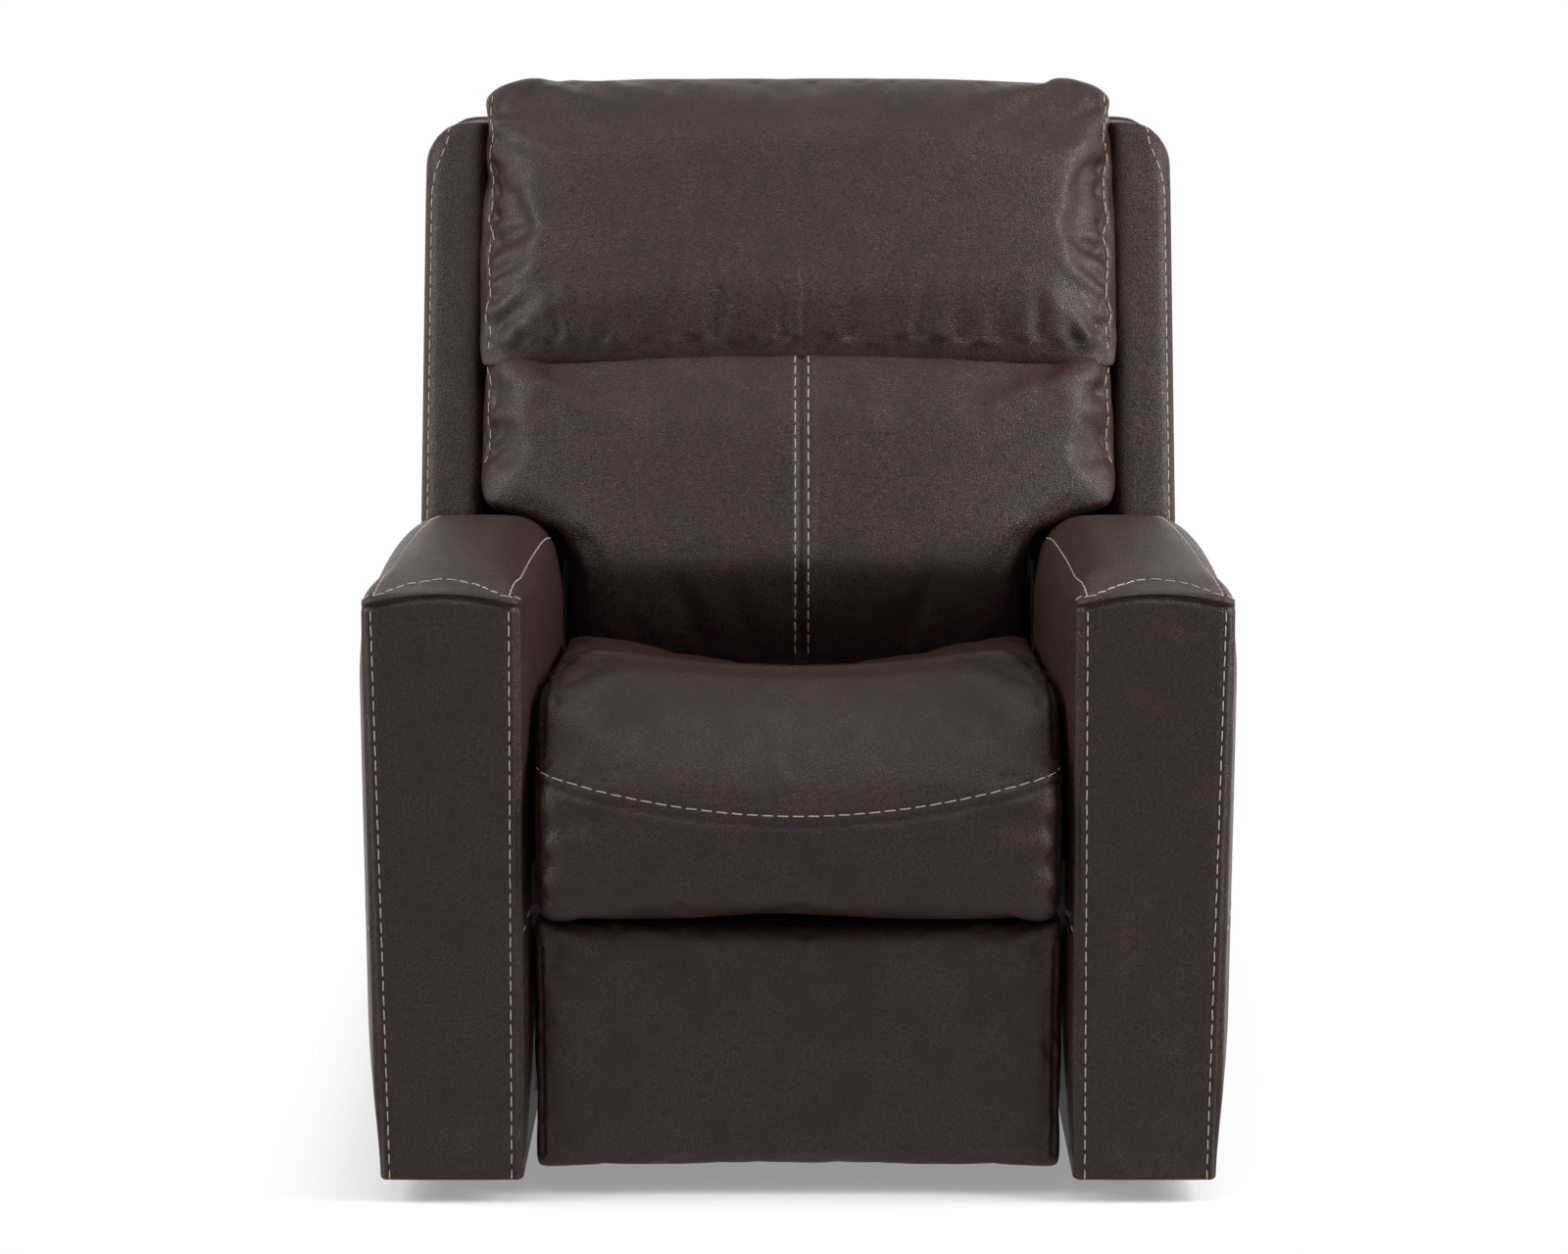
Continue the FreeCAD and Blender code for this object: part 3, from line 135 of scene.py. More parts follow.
def make_leather():
    material, tree = new_material("pebbled_leather")
    place = add(tree, "ShaderNodeTexCoord").outputs["Object"]
    wander = add(tree, "ShaderNodeTexNoise", {"Vector": place, "Scale": 1 / (3 * PEBBLE), "Detail": 1.0})
    moved = add(
        tree,
        "ShaderNodeVectorMath",
        {0: wander.outputs["Color"], 1: (1.6 * PEBBLE,) * 3, 2: place},
        operation="MULTIPLY_ADD",
    )
    cells = add(
        tree,
        "ShaderNodeTexVoronoi",
        {"Vector": moved.outputs[0], "Scale": 1 / PEBBLE},
        feature="DISTANCE_TO_EDGE",
    )
    pores = add(tree, "ShaderNodeTexNoise", {"Vector": place, "Scale": 1 / PORE, "Detail": 2.0})
    cloud = add(tree, "ShaderNodeTexNoise", {"Vector": place, "Scale": 1 / CLOUD, "Detail": 5.0, "Roughness": 0.62})
    plateau = add(
        tree,
        "ShaderNodeMapRange",
        {"Value": cells.outputs["Distance"], "From Max": 0.22},
        interpolation_type="SMOOTHSTEP",
    )
    grain = add(
        tree,
        "ShaderNodeMath",
        {0: pores.outputs["Fac"], 1: 0.55, 2: plateau.outputs["Result"]},
        operation="MULTIPLY_ADD",
    )
    patch = add(tree, "ShaderNodeMapRange", {"Value": cloud.outputs["Fac"], "From Min": 0.36, "From Max": 0.66})
    dye = add(
        tree,
        "ShaderNodeMix",
        {"Factor": patch.outputs["Result"], "A": linear("#2f1e19"), "B": linear("#3d2923")},
        data_type="RGBA",
    )
    colour = add(
        tree,
        "ShaderNodeMix",
        {"Factor": plateau.outputs["Result"], "A": linear("#190f0c"), "B": dye.outputs["Result"]},
        data_type="RGBA",
    )
    gloss = add(
        tree,
        "ShaderNodeMapRange",
        {"Value": cloud.outputs["Fac"], "From Min": 0.3, "From Max": 0.7, "To Min": 0.43, "To Max": 0.35},
    )
    bump = add(tree, "ShaderNodeBump", {"Strength": 0.55, "Distance": 0.0005, "Height": grain.outputs["Value"]})
    shader = add(
        tree,
        "ShaderNodeBsdfPrincipled",
        {
            "Base Color": colour.outputs["Result"],
            "Roughness": gloss.outputs["Result"],
            "IOR": 1.5,
            "Specular IOR Level": 0.22,
            "Normal": bump.outputs["Normal"],
        },
    )
    add(tree, "ShaderNodeOutputMaterial", {"Surface": shader.outputs[0]})
    return material


leather = make_leather()
print("leather pebbles of", PEBBLE * 1000, "mm")

# %% [markdown]
# Shaping a cushion means moving thousands of points. A loop over them is slow, and Blender can hand them over
# as one array, so small helpers read and write points and normals. Another puts a modifier's result in the mesh.

# %% Points of a piece
def points_of(obj):
    values = np.empty(len(obj.data.vertices) * 3)
    obj.data.vertices.foreach_get("co", values)
    return values.reshape(-1, 3)


def set_points(obj, points):
    obj.data.vertices.foreach_set("co", points.astype(np.float32).ravel())
    obj.data.update()


def normals_of(obj):
    values = np.empty(len(obj.data.vertices) * 3)
    obj.data.vertex_normals.foreach_get("vector", values)
    return values.reshape(-1, 3)


def smooth_shade(obj):
    obj.data.polygons.foreach_set("use_smooth", [True] * len(obj.data.polygons))
    obj.data.update()


def new_object(name, mesh):
    obj = bpy.data.objects.new(name, mesh)
    scene.collection.objects.link(obj)
    return obj


def settle(obj):
    """Puts the modifiers' result into the mesh."""
    graph = bpy.context.evaluated_depsgraph_get()
    made = bpy.data.meshes.new_from_object(obj.evaluated_get(graph))
    obj.modifiers.clear()
    obj.data = made


print(len(frame["nodes"]), "CAD pieces to dress or finish")

# %% [markdown]
# A covered cushion starts as its CAD solid: a copy is welded, cut into even squares by a voxel remesh and smoothed.
# A subdivided box would be lighter, but the copy keeps the size and the place that the construction gives it.

# %% Even squares from a solid
RELAX_SHARE = 0.5
WELD_GAP = 1e-5


def relax(obj, steps):
    """Moves every point towards the middle of its neighbours."""
    points = points_of(obj)
    edges = np.empty(len(obj.data.edges) * 2, dtype=np.int64)
    obj.data.edges.foreach_get("vertices", edges)
    edges = edges.reshape(-1, 2)
    both = np.concatenate((edges, edges[:, ::-1]))
    count = np.bincount(both[:, 0], minlength=len(points))[:, None]
    for _ in range(steps):
        total = np.zeros_like(points)
        for axis in range(3):
            total[:, axis] = np.bincount(both[:, 0], points[both[:, 1], axis], len(points))
        points += RELAX_SHARE * (total / count - points)
    set_points(obj, points)


def even_squares(obj, voxel):
    """Cuts the skin into even squares and fuses what overlaps."""
    remesh = obj.modifiers.new("even squares", "REMESH")
    remesh.mode = "VOXEL"
    remesh.voxel_size = voxel
    settle(obj)


def soft_copy(name, node, voxel, leans):
    """A copy of a CAD solid in even squares. Pieces of the back are remeshed upright, so that their faces stay flat."""
    obj = new_object(name, frame["nodes"][node].data.copy())
    obj.data.materials.clear()
    weld = bmesh.new()
    weld.from_mesh(obj.data)
    bmesh.ops.remove_doubles(weld, verts=weld.verts, dist=WELD_GAP)
    weld.to_mesh(obj.data)
    weld.free()
    if leans:
        set_points(obj, upright(points_of(obj)))
    even_squares(obj, voxel)
    return obj


def smooth_step(low, high, values):
    """Rises from 0 to 1 between two values, level at both ends."""
    share = np.clip((values - low) / (high - low), 0, 1)
    return share * share * (3 - 2 * share)


print("a soft step a quarter of the way", round(float(smooth_step(0, 1, 0.25)), 3))

# %% [markdown]
# Stuffing pushes leather outwards and the seams hold it. Blender's cloth does the same: air pressure swells the mesh,
# pinned points stay, and a cover cut a little too large wrinkles where it is held.
# The move of each point is capped, because the frame behind it limits a real cushion as well.
# Points could be pushed out along their normals instead, but that gives no wrinkles.

# %% Plump a cushion with cloth
CLOTH_FRAMES, CLOTH_STEPS = 20, 6
LEATHER_MASS = 0.35
STRETCH, SHEAR, BEND = 25, 8, 2.5


def plump(obj, held, pressure, spare, cap):
    start = points_of(obj)
    group = obj.vertex_groups.new(name="held")
    group.add(np.nonzero(held)[0].tolist(), 1.0, "REPLACE")
    cloth = obj.modifiers.new("stuffing", "CLOTH")
    cloth.settings.quality = CLOTH_STEPS
    cloth.settings.mass = LEATHER_MASS
    cloth.settings.tension_stiffness = STRETCH
    cloth.settings.compression_stiffness = STRETCH
    cloth.settings.shear_stiffness = SHEAR
    cloth.settings.bending_stiffness = BEND
    cloth.settings.use_pressure = True
    cloth.settings.uniform_pressure_force = pressure
    cloth.settings.shrink_min = -spare
    cloth.settings.vertex_group_mass = "held"
    cloth.settings.effector_weights.gravity = 0
    cloth.collision_settings.use_collision = False
    cloth.point_cache.frame_start = 1
    cloth.point_cache.frame_end = CLOTH_FRAMES
    for step in range(1, CLOTH_FRAMES + 1):
        scene.frame_set(step)
    graph = bpy.context.evaluated_depsgraph_get()
    swollen = np.empty(len(start) * 3)
    obj.evaluated_get(graph).data.vertices.foreach_get("co", swollen)
    move = swollen.reshape(-1, 3) - start
    length = np.linalg.norm(move, axis=1, keepdims=True)
    move *= np.minimum(1, cap / np.maximum(length, 1e-9))
    obj.modifiers.clear()
    obj.vertex_groups.clear()
    scene.frame_set(1)
    set_points(obj, start + move)
    print(obj.name, "swelled up to", round(float(length.max()) * 1000, 1), "mm")


def refine(obj):
    finer = obj.modifiers.new("finer", "SUBSURF")
    finer.levels = 1
    finer.render_levels = 1
    settle(obj)


print("cloth steps per cushion", CLOTH_FRAMES)

# %% [markdown]
# A seam pulls the leather down in a narrow valley, and gathers short folds where the cover is fuller than the seam.
# Both are moves of points along the surface's own direction, so that they show as shape and not only as shading.
# Paths are drawn in the air and dropped onto the cover, as a chalk line is.

# %% Paths on a cover
REACH = 0.6
PATH_STEP = 0.003
FROM_FRONT, FROM_BEHIND, FROM_ABOVE = (0, 1, 0), (0, -1, 0), (0, 0, -1)


def surface_of(obj):
    polygons = [tuple(p.vertices) for p in obj.data.polygons]
    return BVHTree.FromPolygons([Vector(p) for p in points_of(obj)], polygons)


def lay(obj, points, direction):
    """The places on the cover that points reach along a direction, and how the cover faces there."""
    surface = surface_of(obj)
    way = Vector(direction).normalized()
    found = [surface.ray_cast(Vector(p) - REACH * way, way) for p in points]
    hits = [f for f in found if f[0] is not None]
    return np.array([f[0] for f in hits]), np.array([f[1] for f in hits])


def line(*corners):
    """Close points along straight runs."""
    corners = np.array(corners, dtype=float)
    runs = [corners[:1]]
    for start, end in zip(corners[:-1], corners[1:]):
        count = max(2, int(np.linalg.norm(end - start) / PATH_STEP))
        runs.append(start + (end - start) * np.linspace(0, 1, count + 1)[1:, None])
    return np.concatenate(runs)


def nearness(points, path, reach):
    """Distance from each point to a path, where it is within reach."""
    near = np.full(len(points), 9.0)
    inside = np.all((points > path.min(0) - reach) & (points < path.max(0) + reach), axis=1)
    places = np.nonzero(inside)[0]
    for part in np.array_split(places, len(places) // 3000 + 1):
        gaps = np.linalg.norm(points[part][:, None] - path[None], axis=2)
        near[part] = gaps.min(1)
    return near


print("a path of one metre has", len(line((0, 0, 0), (1, 0, 0))), "points")

# %% [markdown]
# The valley and the folds have the section that stuffed leather shows: a narrow dip with a soft swell beside it.
# A displacement texture could draw them too, but then the thread couldn't follow the surface.

# %% Seams and folds
SEAM_SWELL, SEAM_SWELL_AWAY = 0.35, 1.9
FOLD_SWELL, FOLD_SWELL_AWAY = 0.55, 1.7
SEAM_REACH, FOLD_REACH = 4, 3.2
STITCH_GROOVE_DEPTH, STITCH_GROOVE_WIDTH = 0.0008, 0.003
chance = random.Random(7)
stitched = []


def press(obj, path, depth, width):
    """A valley along a path, with a small swell at each side."""
    points = points_of(obj)
    away = nearness(points, path, SEAM_REACH * width) / width
    move = depth * (SEAM_SWELL * np.exp(-((away - SEAM_SWELL_AWAY) ** 2)) - np.exp(-(away**2)))
    set_points(obj, points + move[:, None] * normals_of(obj))


def fold(obj, folds):
    """Folds that start at a seam and fade: each has two ends, a width and a depth."""
    points, facing = points_of(obj), normals_of(obj)
    move = np.zeros(len(points))
    for start, end, width, depth in folds:
        start, end = np.array(start), np.array(end)
        way = end - start
        reach = FOLD_REACH * width
        box_low, box_high = np.minimum(start, end) - reach, np.maximum(start, end) + reach
        near = np.nonzero(np.all((points > box_low) & (points < box_high), axis=1))[0]
        along = np.clip((points[near] - start) @ way / (way @ way), 0, 1)
        away = np.linalg.norm(points[near] - start - along[:, None] * way, axis=1) / width
        fade = (1 - along) * smooth_step(-0.02, 0.12, along)
        section = FOLD_SWELL * np.exp(-((away - FOLD_SWELL_AWAY) ** 2)) - np.exp(-(away**2))
        move[near] += depth * fade * section
    set_points(obj, points + move[:, None] * facing)


def stitch(obj, body, points, direction):
    """Keeps a stitch line for the sewing step, with the direction that the cover faces."""
    places, facing = lay(obj, points, direction)
    stitched.append((body, places, facing))


def groove(obj, path, way, depth, width):
    """Presses a valley where a path in the air meets the cover."""
    press(obj, lay(obj, path, way)[0], depth, width)


def topstitch(obj, body, path, way):
    """A row of stitches in its shallow groove."""
    groove(obj, path, way, STITCH_GROOVE_DEPTH, STITCH_GROOVE_WIDTH)
    stitch(obj, body, path, way)


def dress(obj, body, node):
    """Hands a finished cover to the frame."""
    smooth_shade(obj)
    obj.data.materials.clear()
    obj.data.materials.append(leather)
    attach(obj, body)
    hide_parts(node)
    print(obj.name, len(obj.data.polygons), "faces")


print("a stitch row lies", STITCH_GROOVE_DEPTH * 1000, "mm deep")

# %% [markdown]
# An arm is a wooden box under foam, covered by a front panel, two side panels and an arched top panel.
# It could be a subdivided cage, but its shape follows rules, so it starts as the grid on a rounded block.
# The grid is fine where a seam or an edge needs it and coarse elsewhere.

# %% A rounded block of grid lines
def grid_lines(low, high, cell, fine, zones):
    """Places of grid lines along one axis, close together inside the zones."""
    places = [low]
    while places[-1] < high:
        in_zone = any(start <= places[-1] <= end for start, end in zones)
        places.append(places[-1] + (fine if in_zone else cell))
    places = np.array(places)
    return low + (places - low) * (high - low) / (places[-1] - low)


def block(lines):
    """Points and faces of the skin of a block, from the places of its grid lines on the three axes."""
    counts = [len(places) - 1 for places in lines]
    numbers, points, faces = {}, [], []
    for axis in range(3):
        first, second = (axis + 1) % 3, (axis + 2) % 3
        for side in (0, counts[axis]):
            for i in range(counts[first]):
                for j in range(counts[second]):
                    face = []
                    for di, dj in ((0, 0), (1, 0), (1, 1), (0, 1)):
                        key = [0, 0, 0]
                        key[axis], key[first], key[second] = side, i + di, j + dj
                        key = tuple(key)
                        if key not in numbers:
                            numbers[key] = len(points)
                            points.append([lines[a][key[a]] for a in range(3)])
                        face.append(numbers[key])
                    faces.append(face if side else face[::-1])
    return np.array(points), faces


def rounded(points, corner):
    """Rounds a block's edges by a radius of each point's own."""
    low, high = points.min(0), points.max(0)
    inner = np.clip(points, low + corner, high - corner)
    out = (points - inner) / corner
    return inner + corner * out / np.maximum(np.linalg.norm(out, axis=1, keepdims=True), 1.0 - 1e-9)


arm_low, arm_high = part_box("right_arm_cover")
print("an arm is", round(arm_high.x - arm_low.x, 3), "m wide and", round(arm_high.z, 3), "m high")

# %% [markdown]
# The block is bent in the steps that an upholsterer would name: the top arches, the sides swell, the foot is tucked in,
# the front bows, and the top panel stands a little proud of the front panel. Each step is one line of numbers,
# which is easier to match to a photograph than a cage of control points.

# %% Arm shape
ARM_INSIDE, ARM_OUTSIDE = 0.2785, 0.4375
ARM_CELL, ARM_CELL_ACROSS, ARM_CELL_FINE = 0.009, 0.008, 0.0022
ARM_UNDER_FRAME = 0.0015
SHOULDER_FRONT, SHOULDER_MORE = 0.012, 0.030
SIDE_CORNER, FRONT_CORNER, FOOT_CORNER = 0.010, 0.011, 0.003
ARM_CREST_DEPTH, ARM_ARCH, ARM_CROWN = 0.25, 1.84, 0.004
SWELL_OUT, SWELL_IN, SWELL_IN_MORE = 0.0068, 0.0045, 0.008
TUCK_OUT, TUCK_IN, OUTER_TAPER = 0.0065, 0.003, 0.0025
FRONT_BOW, PANEL_PROUD = 0.003, 0.0035
PANEL_EDGE, PANEL_EDGE_RISE = 0.621, 0.012


def arm_points():
    low, high = np.array(arm_low), np.array(arm_high)
    front = low[1]
    seams_across, seams_high = ((0.27, 0.298), (0.41, 0.44)), ((0.0, 0.04), (0.596, 0.66))
    lines = [
        grid_lines(ARM_INSIDE, ARM_OUTSIDE, ARM_CELL_ACROSS, ARM_CELL_FINE, seams_across),
        grid_lines(front + 0.004, high[1], ARM_CELL, ARM_CELL_FINE, ((front, front + 0.02),)),
        grid_lines(low[2] - ARM_UNDER_FRAME, high[2] - ARM_CROWN, ARM_CELL, ARM_CELL_FINE, seams_high),
    ]
    points, faces = block(lines)
    depth = points[:, 1] - front
    upper = points[:, 2] > 0.3
    shoulder = SHOULDER_FRONT + SHOULDER_MORE * smooth_step(0.01, 0.16, depth)
    across_corner = np.where(upper, shoulder, SIDE_CORNER)
    high_corner = np.where(upper, shoulder, FOOT_CORNER)
    points = rounded(points, np.column_stack((across_corner, np.full(len(points), FRONT_CORNER), high_corner)))
    x, z = points[:, 0].copy(), points[:, 2].copy()
    depth = points[:, 1] - front
    middle, half = (lines[0][0] + lines[0][-1]) / 2, (lines[0][-1] - lines[0][0]) / 2
    across = (x - middle) / half
    # The top arches from front to back and is crowned across.
    crest = high[2] - (depth - ARM_CREST_DEPTH) ** 2 / (2 * ARM_ARCH)
    crown = ARM_CROWN * (1 - across**2)
    foot, head = lines[2][0], lines[2][-1]
    points[:, 2] = foot + (z - foot) * (crest + crown - ARM_CROWN - foot) / (head - foot)
    # The sides swell behind the front panel, the inner one most.
    belly = smooth_step(0.03, 0.2, z) * (1 - smooth_step(0.55, 0.65, z))
    run = smooth_step(0.006, 0.05, depth) * (1 - smooth_step(0.58, 0.65, depth))
    swell_in = SWELL_IN + SWELL_IN_MORE * smooth_step(0.03, 0.25, depth)
    points[:, 0] += np.where(across > 0, SWELL_OUT, -swell_in) * belly * run * np.abs(across) ** 5
    # The foot is tucked in, and the outer side tapers.
    tuck = 1 - smooth_step(0.025, 0.14, z)
    points[:, 0] += np.where(across > 0, -TUCK_OUT, TUCK_IN) * tuck * np.abs(across) ** 3
    points[:, 0] -= OUTER_TAPER * (1 - smooth_step(0.1, 0.6, z)) * np.maximum(across, 0)
    # The front bows, and the top panel stands proud over a narrow groove.
    at_front = 1 - smooth_step(0.006, 0.03, depth)
    above = points[:, 2] - (PANEL_EDGE + PANEL_EDGE_RISE * (1 - across**2))
    points[:, 1] -= FRONT_BOW * (1 - across**4) * at_front
    points[:, 1] -= PANEL_PROUD * smooth_step(-0.0012, 0.0022, above) * at_front
    points[:, 1] += PANEL_PROUD * np.exp(-(((above + 0.002) / 0.0026) ** 2)) * at_front
    return points, faces


print("an arm has", len(arm_points()[0]), "points")

# %% [markdown]
# Two seams run down the front panel, each with a row of stitches beside it. A third row follows the arched edge,
# two run back along the top panel, and a short tack closes each side. They could be drawn by bump alone,
# but pressed valleys also catch the light at the outline.

# %% Arm covers
ARM_SEAM_OUT, ARM_SEAM_IN = 0.4355, 0.2815
ARM_TAPER_OUT, ARM_TAPER_IN = 0.009, -0.004
ARM_STITCH_INSET, ARC_STITCH_RISE = 0.008, 0.008
ARM_SEAM_TOP, ARM_SEAM_FOOT = 0.614, 0.03
TOP_ROWS = ((0.4275, 0.402), (0.2895, 0.2815))
TACK_X, TACK_DEPTH = 0.36, 0.0014
TACK_ENDS = ((0.014, 0.288), (0.04, 0.297))


def arm_cover(name, node, side):
    points, faces = arm_points()
    points[:, 0] *= side
    mesh = bpy.data.meshes.new(name)
    mesh.from_pydata(points.tolist(), [], faces if side > 0 else [f[::-1] for f in faces])
    arm = new_object(name, mesh)
    for seam_x, taper, inward in ((ARM_SEAM_OUT, ARM_TAPER_OUT, -1), (ARM_SEAM_IN, ARM_TAPER_IN, 1)):
        top, foot = side * seam_x, side * (seam_x - taper)
        groove(arm, line((top, 0, ARM_SEAM_TOP), (foot, 0, ARM_SEAM_FOOT)), FROM_FRONT, 0.0016, 0.0028)
        shift = side * inward * ARM_STITCH_INSET
        row = line((top + shift, 0, ARM_SEAM_TOP - 0.002), (foot + shift, 0, ARM_SEAM_FOOT + 0.002))
        topstitch(arm, "base", row, FROM_FRONT)
    share = np.linspace(-1, 1, 60)
    middle, half = (ARM_SEAM_OUT + ARM_SEAM_IN) / 2, (ARM_SEAM_OUT - ARM_SEAM_IN) / 2
    arc_up = PANEL_EDGE + ARC_STITCH_RISE + PANEL_EDGE_RISE * (1 - share**2)
    topstitch(arm, "base", np.column_stack((side * (middle + half * share), 0 * share, arc_up)), FROM_FRONT)
    depth = np.linspace(0.012, 0.62, 120)
    for near, far in TOP_ROWS:
        x = far + (near - far) * (1 - smooth_step(-0.1, 0.4, depth))
        topstitch(arm, "base", np.column_stack((side * x, depth + arm_low.y, 0 * depth + 1.0)), FROM_ABOVE)
    for way in (side, -side):
        tack = line(*((TACK_X * side, arm_low.y + back, up) for back, up in TACK_ENDS))
        groove(arm, tack, (way, 0, 0), TACK_DEPTH, STITCH_GROOVE_WIDTH)
        stitch(arm, "base", tack, (way, 0, 0))
    dress(arm, "base", node)


arm_cover("left_arm_leather", "left_arm_cover", -1)
arm_cover("right_arm_leather", "right_arm_cover", 1)

# %% [markdown]
# The seat is one cushion with a bun at the front. It is dished across, because people sit in the middle,
# and it narrows between the swollen arms. Its CAD solid has the main shape already, so the cover starts as a copy of it
# and lets the cloth round it, which sculpting by hand wouldn't do the same way twice.

# %% Seat cushion
SEAT_HALF, SEAT_NARROWING = 0.269, 0.005
SEAT_RISE, SEAT_DISH = 0.014, 0.009
SEAT_VOXEL = 0.0068
BUN_SHOULDER, BUN_FORWARD, BUN_DROP = 0.012, 0.004, 0.006
SEAT_PRESSURE, SEAT_SPARE, SEAT_CAP = 2, 0.006, 0.009


def seat_leather():
    seat = soft_copy("seat_leather", "seat_cushion", SEAT_VOXEL, False)
    relax(seat, 30)
    points = points_of(seat)
    x, z = points[:, 0].copy(), points[:, 2].copy()
    depth = points[:, 1] - arm_low.y
    points[:, 0] *= (SEAT_HALF - SEAT_NARROWING * smooth_step(0.08, 0.25, depth)) / np.abs(x).max()
    rim = np.abs(x) / np.abs(x).max()
    top = smooth_step(0.35, 0.47, z)
    rear = smooth_step(0.15, 0.5, depth)
    middle = 1 - rim**2
    points[:, 2] += top * (SEAT_RISE * (1 - rear * middle) - SEAT_DISH * rear * middle**2)
    face = 1 - smooth_step(0.0, 0.06, depth)
    shoulder = np.maximum(rim - 0.9, 0) / 0.1
    points[:, 1] += BUN_SHOULDER * face * shoulder**2
    points[:, 1] -= BUN_FORWARD * face
    points[:, 2] -= BUN_DROP * (1 - smooth_step(0.29, 0.36, z)) * face
    set_points(seat, points)
    depth = points[:, 1] - arm_low.y
    under = (points[:, 2] < 0.36) & (depth > 0.07)
    held = under | (depth > 0.545) | (np.abs(points[:, 0]) > SEAT_HALF - 0.009)
    plump(seat, held, SEAT_PRESSURE, SEAT_SPARE, SEAT_CAP)
    refine(seat)
    return seat


seat = seat_leather()
print("seat cover", len(seat.data.vertices), "points")

# %% [markdown]
# A crease parts the bun from the seat and gathers small folds, a smile-shaped seam crosses the bun's face,
# and the corners pull folds inwards. The valleys are pressed after the remesh, which would have erased them.

# %% Seat seams and folds
CREASE_BACK, CREASE_BOW = -0.262, 0.012
CREASE_DEPTH, CREASE_WIDTH = 0.012, 0.009
CREASE_FOLDS = 16
SMILE_LOW, SMILE_RISE, SMILE_SEAM_DROP = 0.409, 0.041, 0.0095
# Each row: height at the seam, height at the far end, width, depth.
SEAT_CORNER_FOLDS = (
    (0.425, 0.452, 0.012, 0.004),
    (0.395, 0.41, 0.014, 0.005),
    (0.36, 0.35, 0.012, 0.004),
    (0.325, 0.312, 0.01, 0.004),
)
SIDE_SEAM_DEPTH, SIDE_SEAM_WIDTH = 0.0022, 0.0032

share = np.linspace(-1, 1, 160)
crease_back = CREASE_BACK + CREASE_BOW * share**2
crease = np.column_stack((share * (SEAT_HALF - 0.01), crease_back, 0 * share + 1.0))
groove(seat, crease, FROM_ABOVE, CREASE_DEPTH, CREASE_WIDTH)
folds = []
for k in range(CREASE_FOLDS):
    x = -0.23 + 0.46 * k / (CREASE_FOLDS - 1) + chance.uniform(-0.012, 0.012)
    back = CREASE_BACK + CREASE_BOW * (x / SEAT_HALF) ** 2
    reach = chance.uniform(0.03, 0.08)
    ends = lay(seat, ((x, back, 1), (x + chance.uniform(-0.03, 0.03), back - reach, 1)), FROM_ABOVE)[0]
    folds.append((ends[0], ends[1], chance.uniform(0.006, 0.011), chance.uniform(0.0015, 0.004)))
for side in (-1, 1):
    for near_up, far_up, width, depth in SEAT_CORNER_FOLDS:
        ends = lay(seat, ((side * 0.262, 0, near_up), (side * chance.uniform(0.16, 0.2), 0, far_up)), FROM_FRONT)[0]
        folds.append((ends[0], ends[1], width, depth))
fold(seat, folds)
smile = np.column_stack((share * (SEAT_HALF - 0.006), 0 * share, SMILE_LOW + SMILE_RISE * share**2))
groove(seat, smile - np.array((0, 0, SMILE_SEAM_DROP)), FROM_FRONT, 0.0026, 0.0034)
groove(seat, smile, FROM_FRONT, 0.001, STITCH_GROOVE_WIDTH)
stitch(seat, "base", smile, FROM_FRONT)
for side in (-1, 1):
    edge = side * (SEAT_HALF - 0.0055)
    groove(seat, line((edge, 0, 0.3), (edge, 0, 0.47)), FROM_FRONT, SIDE_SEAM_DEPTH, SIDE_SEAM_WIDTH)
    over = np.column_stack((np.full(120, edge - side * 0.004), np.linspace(-0.47, 0.03, 120), np.ones(120)))
    groove(seat, over, FROM_ABOVE, SIDE_SEAM_DEPTH, SIDE_SEAM_WIDTH)
dress(seat, "base", "seat_cushion")

# %% [markdown]
# The footrest is a flat board with foam and a cover that is drawn tight at the sides and gathers at its corners.
# A plain panel with a bump map would look dead at this size, so it is stuffed and folded as the seat is.

# %% Footrest
FOOT_HALF, FOOT_RISE, FOOT_SEAM = 0.2705, 0.015, 0.2625
FOOT_VOXEL = 0.005
FOOT_PRESSURE, FOOT_SPARE, FOOT_CAP = 1.5, 0.003, 0.006
# Each row: height at the seam, place of the far end, width, depth.
FOOT_CORNER_FOLDS = (
    (0.272, (0.2, 0.235), 0.009, 0.004),
    (0.25, (0.215, 0.205), 0.01, 0.0035),
    (0.262, (0.16, 0.25), 0.008, 0.0025),
    (0.06, (0.22, 0.08), 0.01, 0.003),
)
foot_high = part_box("footrest_pad")[1]


def footrest_leather():
    pad = soft_copy("footrest_leather", "footrest_pad", FOOT_VOXEL, False)
    relax(pad, 6)
    points = points_of(pad)
    points[:, 0] *= FOOT_HALF / np.abs(points[:, 0]).max()
    points[:, 2] += FOOT_RISE * smooth_step(0.18, foot_high.z, points[:, 2])
    set_points(pad, points)
    plump(pad, points[:, 1] > foot_high.y - 0.012, FOOT_PRESSURE, FOOT_SPARE, FOOT_CAP)
    refine(pad)
    return pad


footrest = footrest_leather()
folds = []
for side in (-1, 1):
    edge = side * FOOT_SEAM
    groove(footrest, line((edge, 0, 0.045), (edge, 0, 0.262)), FROM_FRONT, 0.002, 0.003)
for side in (-1, 1):
    for up, end, width, depth in FOOT_CORNER_FOLDS:
        ends = lay(footrest, ((side * 0.256, 0, up), (side * end[0], 0, end[1])), FROM_FRONT)[0]
        folds.append((ends[0], ends[1], width, depth))
fold(footrest, folds)
dress(footrest, "footrest", "footrest_pad")

# %% [markdown]
# The back is two pillows, which share a few habits: their sides are brought out to one width, their fronts fall back
# towards the sides, and folds run inwards from the side seams. These helpers work on the upright pillow,
# because a lean would turn every straight seam into a slanted one.

